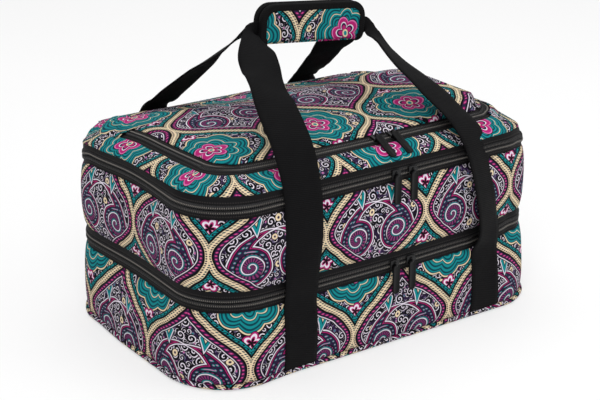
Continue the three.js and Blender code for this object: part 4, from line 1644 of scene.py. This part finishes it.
@dataclass
class Grip:
    """The padded printed wrap that holds both handles together."""

    matrix: Matrix
    half: float = 66.0
    tall: float = 21.0
    corner: float = 17.0
    foot_corner: float = 9.0
    inner: float = 2.2
    wall: float = 4.6
    bound: float = 7.5
    bound_round: float = 1.4
    bound_share: float = 0.26
    fold_floor: float = 4.6
    fold_wall: float = 5.4
    fold_lift: float = 5.0
    voxel: float = 2.4
    cap: float = 1.6
    pressure: float = 4.0
    frames: int = 20

    def panel(self, side: float, tuck: float) -> Mesh:
        """A rounded slab, a little smaller than the pad.

        Args:
            side: Minus one for the front half, one for the back.
            tuck: How much smaller the slab is all round, in millimetres.

        Returns:
            The slab's mesh, in metres.
        """
        mesh = bmesh.new()
        block(mesh, (2 * (self.half - tuck), self.wall - 2 * tuck, 2 * (self.tall - tuck)))
        for hand, radius in ((1.0, self.corner), (-1.0, self.foot_corner)):
            ends = [edge for edge in mesh.edges if all(vert.co.z * hand > 0 for vert in edge.verts)
                    and abs(edge.verts[0].co.y - edge.verts[1].co.y) > 1]
            bevel(mesh, ends, radius, 6)
        bmesh.ops.translate(mesh, vec=(0, side * (self.inner + self.wall / 2), 0), verts=mesh.verts)
        return set_down(mesh, self.matrix)

    def puff(self, mesh: Mesh) -> Mesh:
        """Blow a slab up as stuffed cloth.

        Args:
            mesh: A closed slab, in metres, used up here.

        Returns:
            The stuffed pad's mesh.
        """
        data = bpy.data.meshes.new("pad_start")
        mesh.to_mesh(data)
        mesh.free()
        pad = bpy.data.objects.new("pad_start", data)
        scene = bpy.context.scene
        scene.collection.objects.link(pad)
        coarse = pad.modifiers.new("voxels", "REMESH")
        coarse.mode = "VOXEL"
        coarse.voxel_size = self.voxel * MM
        start = bpy.data.meshes.new_from_object(pad.evaluated_get(bpy.context.evaluated_depsgraph_get()))
        pad.modifiers.clear()
        pad.data = start
        result = start
        cloth = pad.modifiers.new("stuffing", "CLOTH")
        cloth.settings.use_pressure = True
        cloth.settings.uniform_pressure_force = self.pressure
        cloth.settings.effector_weights.gravity = 0.0
        cloth.settings.quality = 4
        cloth.point_cache.frame_start, cloth.point_cache.frame_end = 1, self.frames
        for now in range(1, self.frames + 1):
            scene.frame_set(now)
        result = bpy.data.meshes.new_from_object(pad.evaluated_get(bpy.context.evaluated_depsgraph_get()))
        scene.frame_set(1)
        made = bmesh.new()
        made.from_mesh(result)
        shifts = [vert.co - old.co for vert, old in zip(made.verts, start.vertices)]
        drift = sum(shifts, Vector()) / len(shifts)
        for vert, shift, old in zip(made.verts, shifts, start.vertices):
            move = shift - drift
            vert.co = old.co + move * min(1.0, self.cap * MM / max(move.length, 1e-9))
        bpy.data.objects.remove(pad)
        return made

    def pad(self, shop: Workshop, half: GripHalf) -> None:
        """Make the stuffed pad of one half, printed across its face."""
        mesh = self.puff(self.panel(half.side, 0.5))
        layer = mesh.loops.layers.uv.new(UV_NAME)
        back = self.matrix.inverted()
        for face in mesh.faces:
            for loop in face.loops:
                local = back @ (loop.vert.co / MM)
                loop[layer].uv = ((local.x * half.side + 41.0) * MM, (local.z + 12.0) * MM)
        made = shop.piece(f"grip_{half.name}_pad", mesh, Slot.PRINT, soften=1)
        shop.ride(made, half.body, f"grip_{half.node}")

    def rim(self, share: float) -> tuple[Vector, Vector]:
        """Follow the bound edge, from one bottom corner over the top to the other.

        Args:
            share: Share of the way.

        Returns:
            The point there and the outward direction.
        """
        trail = []
        for across, up, radius, start in ((-1, -1, self.foot_corner, 1.5), (-1, 1, self.corner, 1.0),
                                          (1, 1, self.corner, 0.5), (1, -1, self.foot_corner, 0.0)):
            middle = Vector((across * (self.half - radius), 0, up * (self.tall - radius)))
            for step in range(13):
                turn = math.pi * (start - step / 24)
                out = Vector((math.cos(turn), 0, math.sin(turn)))
                trail.append((middle + out * radius, out))
        lengths = [(two[0] - one[0]).length for one, two in zip(trail, trail[1:])]
        left, index = share * sum(lengths), 0
        while index < len(lengths) - 1 and left > lengths[index]:
            left -= lengths[index]
            index += 1
        part = min(left / lengths[index], 1.0)
        point, out = (one.lerp(two, part) for one, two in zip(trail[index], trail[index + 1]))
        return point, out

    def binding(self, shop: Workshop, half: GripHalf) -> None:
        """Make the black tape that folds over a pad's top and ends."""
        middle, thick = half.side * (self.inner + self.wall / 2), self.wall / 2 + 1.1
        soft, turned = self.bound_round, self.bound_share

        def place(a: float, b: float) -> Vector:
            """A place on the binding: down one face, over the edge, down the other."""
            point, out = self.rim(a)
            swing = min(max((b - 0.5) / turned, -1.0), 1.0) * QUARTER
            down = max(abs(b - 0.5) - turned, 0.0) / (0.5 - turned) * (self.bound - 0.4 - soft)
            deep = soft * (1 - math.cos(swing)) + down - 0.2
            off = math.sin(swing) * thick
            wave = math.copysign(0.25 * ripple(point.x, point.z, half.side * 5, 9.0), off)
            return self.matrix @ (point - out * deep + Vector((0, middle + off + wave, 0)))

        core = self.matrix @ Vector((0, middle, -4.0))
        mesh = warp(110, 20, place, lambda a, b: (b * 24.0, a * 210.0), core)
        node = f"grip_{half.node}_binding"
        shop.fit(f"grip_{half.name}_binding", mesh, Slot.WEBBING, 0.8, half.body, node)

    def tape(self, shop: Workshop, half: GripHalf) -> None:
        """Make one half of the hook and loop closing."""
        mesh = bmesh.new()
        block(mesh, (2 * (self.half - self.corner), 0.8, 6.0))
        bevel(mesh, mesh.edges[:], 0.25, 2)
        bmesh.ops.translate(mesh, vec=(0, half.side * 1.5, self.tall - 8.0), verts=mesh.verts)
        set_down(mesh, self.matrix)
        node = f"grip_{half.closing}_tape"
        shop.fit(f"grip_{half.closing}_pile", mesh, Slot.FASTENER, 0.0, half.body, node)

    def fold(self, shop: Workshop) -> None:
        """Make the cloth along the bottom that joins both halves."""
        wide, floor, long = self.half - self.foot_corner, self.fold_floor, self.fold_floor + self.fold_wall
        rear = self.inner + 0.2

        def place(a: float, b: float) -> Vector:
            """A place on the fold: over its floor, then up the front half's inner face."""
            run = b * long
            climb = max(run - floor, 0.0)
            across = rear - min(run, floor) - 0.03 * climb
            up = climb + self.fold_lift * ease(across, 0.2, rear)
            return self.matrix @ Vector(((2 * a - 1) * wide, across, 1.6 - self.tall + up))

        core = self.matrix @ Vector((0, -40, -60))
        mesh = warp(60, 20, place, lambda a, b: (a * 2 * wide + 41.0, b * long), core)
        made = shop.piece("grip_fold_cloth", mesh, Slot.PRINT, 1.2)
        2 * wide * MM
        (long + 6.0) * MM
        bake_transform(made)

    def build(self, shop: Workshop) -> None:
        """Make both pads, the fold between them, their bindings and the closing."""
        halves = (GripHalf(1.0, "rear_handle", "back", "pad", "loop"),
                  GripHalf(-1.0, "grip_front", "front", "flap", "hook"))
        for half in halves:
            self.pad(shop, half)
        self.fold(shop)
        for make in (self.binding, self.tape):
            for half in halves:
                make(shop, half)


# Sliders and pulls


@dataclass
class Slider:
    """One zip slider with its bridge, and the soft pull that hangs from it."""

    way: Zip
    side: Side
    length: float = 11.0
    wide: float = 9.0
    bridge_high: float = 3.0
    bridge_radius: float = 2.6
    wire: float = 0.75
    pull_wide: float = 8.5
    pull_long: float = 31.0
    pull_thick: float = 1.9
    pull_corner: float = 3.4
    pull_out: float = 0.9
    eye: float = 2.0

    def label(self, kind: str) -> str:
        """Name of the slider or its pull."""
        return f"{self.way.name}_{kind}_{self.side.value}"

    def build(self, shop: Workshop) -> None:
        """Make the slider and its pull."""
        name = self.label("slider")
        low, high = node_box(name)
        mesh = bmesh.new()
        self.slab(mesh, (self.length, self.wide, 1.5), (0.0, 0.0, 2.3), 0.7, 0.72)
        for edge in (-1.0, 1.0):
            spot = (-0.6, edge * (self.wide / 2 - 0.7), 0.9)
            self.slab(mesh, (self.length * 0.82, 1.0, 2.6), spot, 0.35, 1.0)
        self.bridge(mesh)
        fixed_order(mesh)
        set_down(mesh, self.way.frame_at((low.x + high.x) / 2))
        shop.fit(f"{name}_body", mesh, Slot.SLIDER, 0.0, name, name)
        self.build_pull(shop)

    def slab(self, mesh: Mesh, size: tuple, spot: tuple, soft: float, taper: float) -> None:
        """Add a rounded block that narrows towards one end.

        Args:
            mesh: The mesh to add to.
            size: Length, width and height.
            spot: Where its middle goes.
            soft: Radius of its edges.
            taper: The narrow end's share of the width.
        """
        made = block(mesh, size, taper)
        rounded = bevel(mesh, edges_at(made), soft, 3)
        verts = dict.fromkeys([*rounded, *(vert for vert in made if vert.is_valid)])
        bmesh.ops.translate(mesh, vec=spot, verts=list(verts))

    def bridge(self, mesh: Mesh) -> None:
        """Add the arched bridge that the pull hangs from."""
        foot = Matrix.Translation((0, self.bridge_radius, self.bridge_high))
        section = foot @ Matrix.Diagonal((1.5, 1, 1, 1))
        ring = bmesh.ops.create_circle(mesh, segments=10, radius=self.wire, matrix=section)["verts"]
        bmesh.ops.spin(mesh, geom=ring + edges_at(ring), cent=(0, 0, self.bridge_high), axis=(1, 0, 0),
                       dvec=(0, 0, 0), angle=math.pi, steps=14, use_merge=False, use_duplicate=False)
        bmesh.ops.recalc_face_normals(mesh, faces=mesh.faces)

    def build_pull(self, shop: Workshop) -> None:
        """Make the pull: a rounded tab with a raised rim, hung on its joint."""
        name = self.label("pull")
        low, high = node_box(name)
        x = (low.x + high.x) / 2
        pivot = joint_place(f"{name}_swing")
        out = self.way.outline.stand(self.way.outline.front(x), self.way.height) + self.pull_out
        lies = high.y - low.y >= 8.0
        drop = math.atan2(high.z - low.z, high.y - low.y) if lies else QUARTER
        mesh = bmesh.new()
        block(mesh, (self.pull_wide, self.pull_long, self.pull_thick))
        tall = [edge for edge in mesh.edges if abs(edge.verts[0].co.z - edge.verts[1].co.z) > 0.5]
        bevel(mesh, tall, self.pull_corner, 6)
        caps = [face for face in mesh.faces if abs(face.normal.z) > 0.9]
        bmesh.ops.inset_individual(mesh, faces=caps, thickness=1.1, depth=0.0)
        bmesh.ops.inset_individual(mesh, faces=caps, thickness=0.5, depth=-0.45)
        rims = [edge for edge in mesh.edges if len(edge.link_faces) == 2 and edge.calc_face_angle() > 0.9]
        bevel(mesh, rims, 0.28, 2)
        bmesh.ops.translate(mesh, vec=(0, -self.pull_long / 2 + self.eye, 0), verts=mesh.verts)
        place = Matrix.Translation((x, pivot.y - out, pivot.z)) @ Matrix.Rotation(drop, 4, "X")
        shop.fit(f"{name}_tab", set_down(mesh, place), Slot.PULL, 0.0, name, name)


# Studio


@dataclass(frozen=True)
class Studio:
    """Floor, soft lamps and camera."""

    eye: tuple[float, float, float] = (-0.92624, -1.29338, 0.71184)
    azimuth: float = -35.529
    elevation: float = 20.645
    lens: float = 95.6
    sensor: float = 36.0
    aim: tuple[float, float, float] = (0.0, 0.0, 0.12)
    lamps: tuple[tuple, ...] = (("key", (-1.5, -1.9, 2.1), 2.0, 42.0), ("fill", (1.9, -1.5, 1.4), 2.2, 20.0),
                                ("top", (0.1, 0.5, 2.4), 2.2, 24.0))
    floor_half: float = 6.0
    floor_glow: float = 0.55
    sky: float = 0.5

    def build(self) -> None:
        """Set up the floor, the light and the camera."""
        bpy.context.scene.view_settings.view_transform = "Standard"
        self.camera()
        self.floor()
        for name, spot, size, power in self.lamps:
            lamp = bpy.data.lights.new(name, "AREA")
            lamp.size = size
            lamp.energy = power
            self.stand(name, lamp, spot, Vector(self.aim) - Vector(spot))
        self.open_sky()

    def stand(self, name: str, data: bpy.types.ID, spot: Sequence[float], look: Vector) -> bpy.types.Object:
        """Stand a lamp or a camera in the studio.

        Args:
            name: The object's name.
            data: The lamp or the camera.
            spot: Where it stands.
            look: Which way it looks.

        Returns:
            The new object.
        """
        made = bpy.data.objects.new(name, data)
        bpy.context.scene.collection.objects.link(made)
        made.matrix_world = Matrix.Translation(spot) @ look.to_track_quat("-Z", "Y").to_matrix().to_4x4()
        return made

    def open_sky(self) -> None:
        """Show the world as white behind the carrier, and leave its light plain."""
        graph = Graph(bpy.data.worlds.new("studio"), "Background")
        path = graph.node("ShaderNodeLightPath")
        inputs = {0: path.outputs["Is Camera Ray"], 3: self.sky, 4: 1.0}
        strength = graph.node("ShaderNodeMapRange", inputs=inputs).outputs[0]
        graph.set(Color=WHITE, Strength=strength)
        bpy.context.scene.world = graph.owner

    def camera(self) -> None:
        """Set the camera where the photograph was taken from."""
        data = bpy.data.cameras.new("camera")
        data.sensor_width = self.sensor
        data.lens = self.lens
        data.clip_end = 50.0
        turn, lift = math.radians(self.azimuth), math.radians(self.elevation)
        look = Vector((-math.sin(turn) * math.cos(lift), math.cos(turn) * math.cos(lift), -math.sin(lift)))
        bpy.context.scene.camera = self.stand("camera", data, self.eye, look)

    def floor(self) -> None:
        """Lay a wide white floor that keeps the carrier's shadow."""
        mesh = bmesh.new()
        bmesh.ops.create_grid(mesh, x_segments=4, y_segments=4, size=self.floor_half)
        data = bpy.data.meshes.new("floor")
        mesh.to_mesh(data)
        mesh.free()
        made = bpy.data.objects.new("floor", data)
        bpy.context.scene.collection.objects.link(made)
        graph = Graph(bpy.data.materials.new("floor_white"))
        tint = graph.mix(graph.grain(graph.place(), 1.5), Colour("f6f6f6"), Colour("fafafa"))
        graph.set(Base_Color=tint, Roughness=0.8, Specular_IOR_Level=0.1)
        path = graph.node("ShaderNodeLightPath")
        seen = Shade(graph, path.outputs["Is Camera Ray"]).most(Shade(graph, path.outputs["Is Glossy Ray"]))
        glow = graph.node("ShaderNodeEmission", inputs={"Color": WHITE, "Strength": 1.0})
        mixed = {0: seen * self.floor_glow, 1: graph.shader.outputs[0], 2: glow.outputs[0]}
        both = graph.node("ShaderNodeMixShader", inputs=mixed)
        graph.plug(graph.tree.nodes["Material Output"].inputs["Surface"], both.outputs[0])
        data.materials.append(graph.owner)


def zip_height(name: str, below: str, above: str) -> float:
    """Height of the slot between the two halves of a zip's coil."""
    return (node_box(f"{name}_zip_coil_{below}")[1].z + node_box(f"{name}_zip_coil_{above}")[0].z) / 2


def main() -> None:
    """Build the studio and every sub-assembly."""
    logging.basicConfig(level=logging.INFO, format="%(message)s")
    Studio().build()
    shop = Workshop(Finishes())
    corner = node_box("tray_outer_shell")[1]
    outline = Outline(corner.x, corner.y, 62.0)
    halves = {"lower": ("base", "tray"), "middle": ("tray", "lid"), "top": ("lid", "flap")}
    lower, middle, top = (zip_height(name, *bodies) for name, bodies in halves.items())
    grip = Matrix.Translation((10.0, 0.0, 306.0)) @ Matrix.Rotation(math.radians(6.0), 4, "Y")
    Handles(outline, grip, lower, middle).build(shop)
    Decks(outline, lower, middle, top).build(shop)
    Flap(outline).build(shop)
    zips = [Zip("lower", outline, 0.0, lower, QUARTER, halves["lower"]),
            Zip("middle", outline, 0.0, middle, QUARTER, halves["middle"], tape_reach=(13.0, 12.9)),
            Zip("top", outline, 31.0, top, math.radians(14.0), halves["top"], guards=(0.2085, 0.63))]
    for way in zips:
        way.build(shop)
        for side in Side:
            Slider(way, side).build(shop)
    Grip(grip).build(shop)
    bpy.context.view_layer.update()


if __name__ == "__main__":
    main()
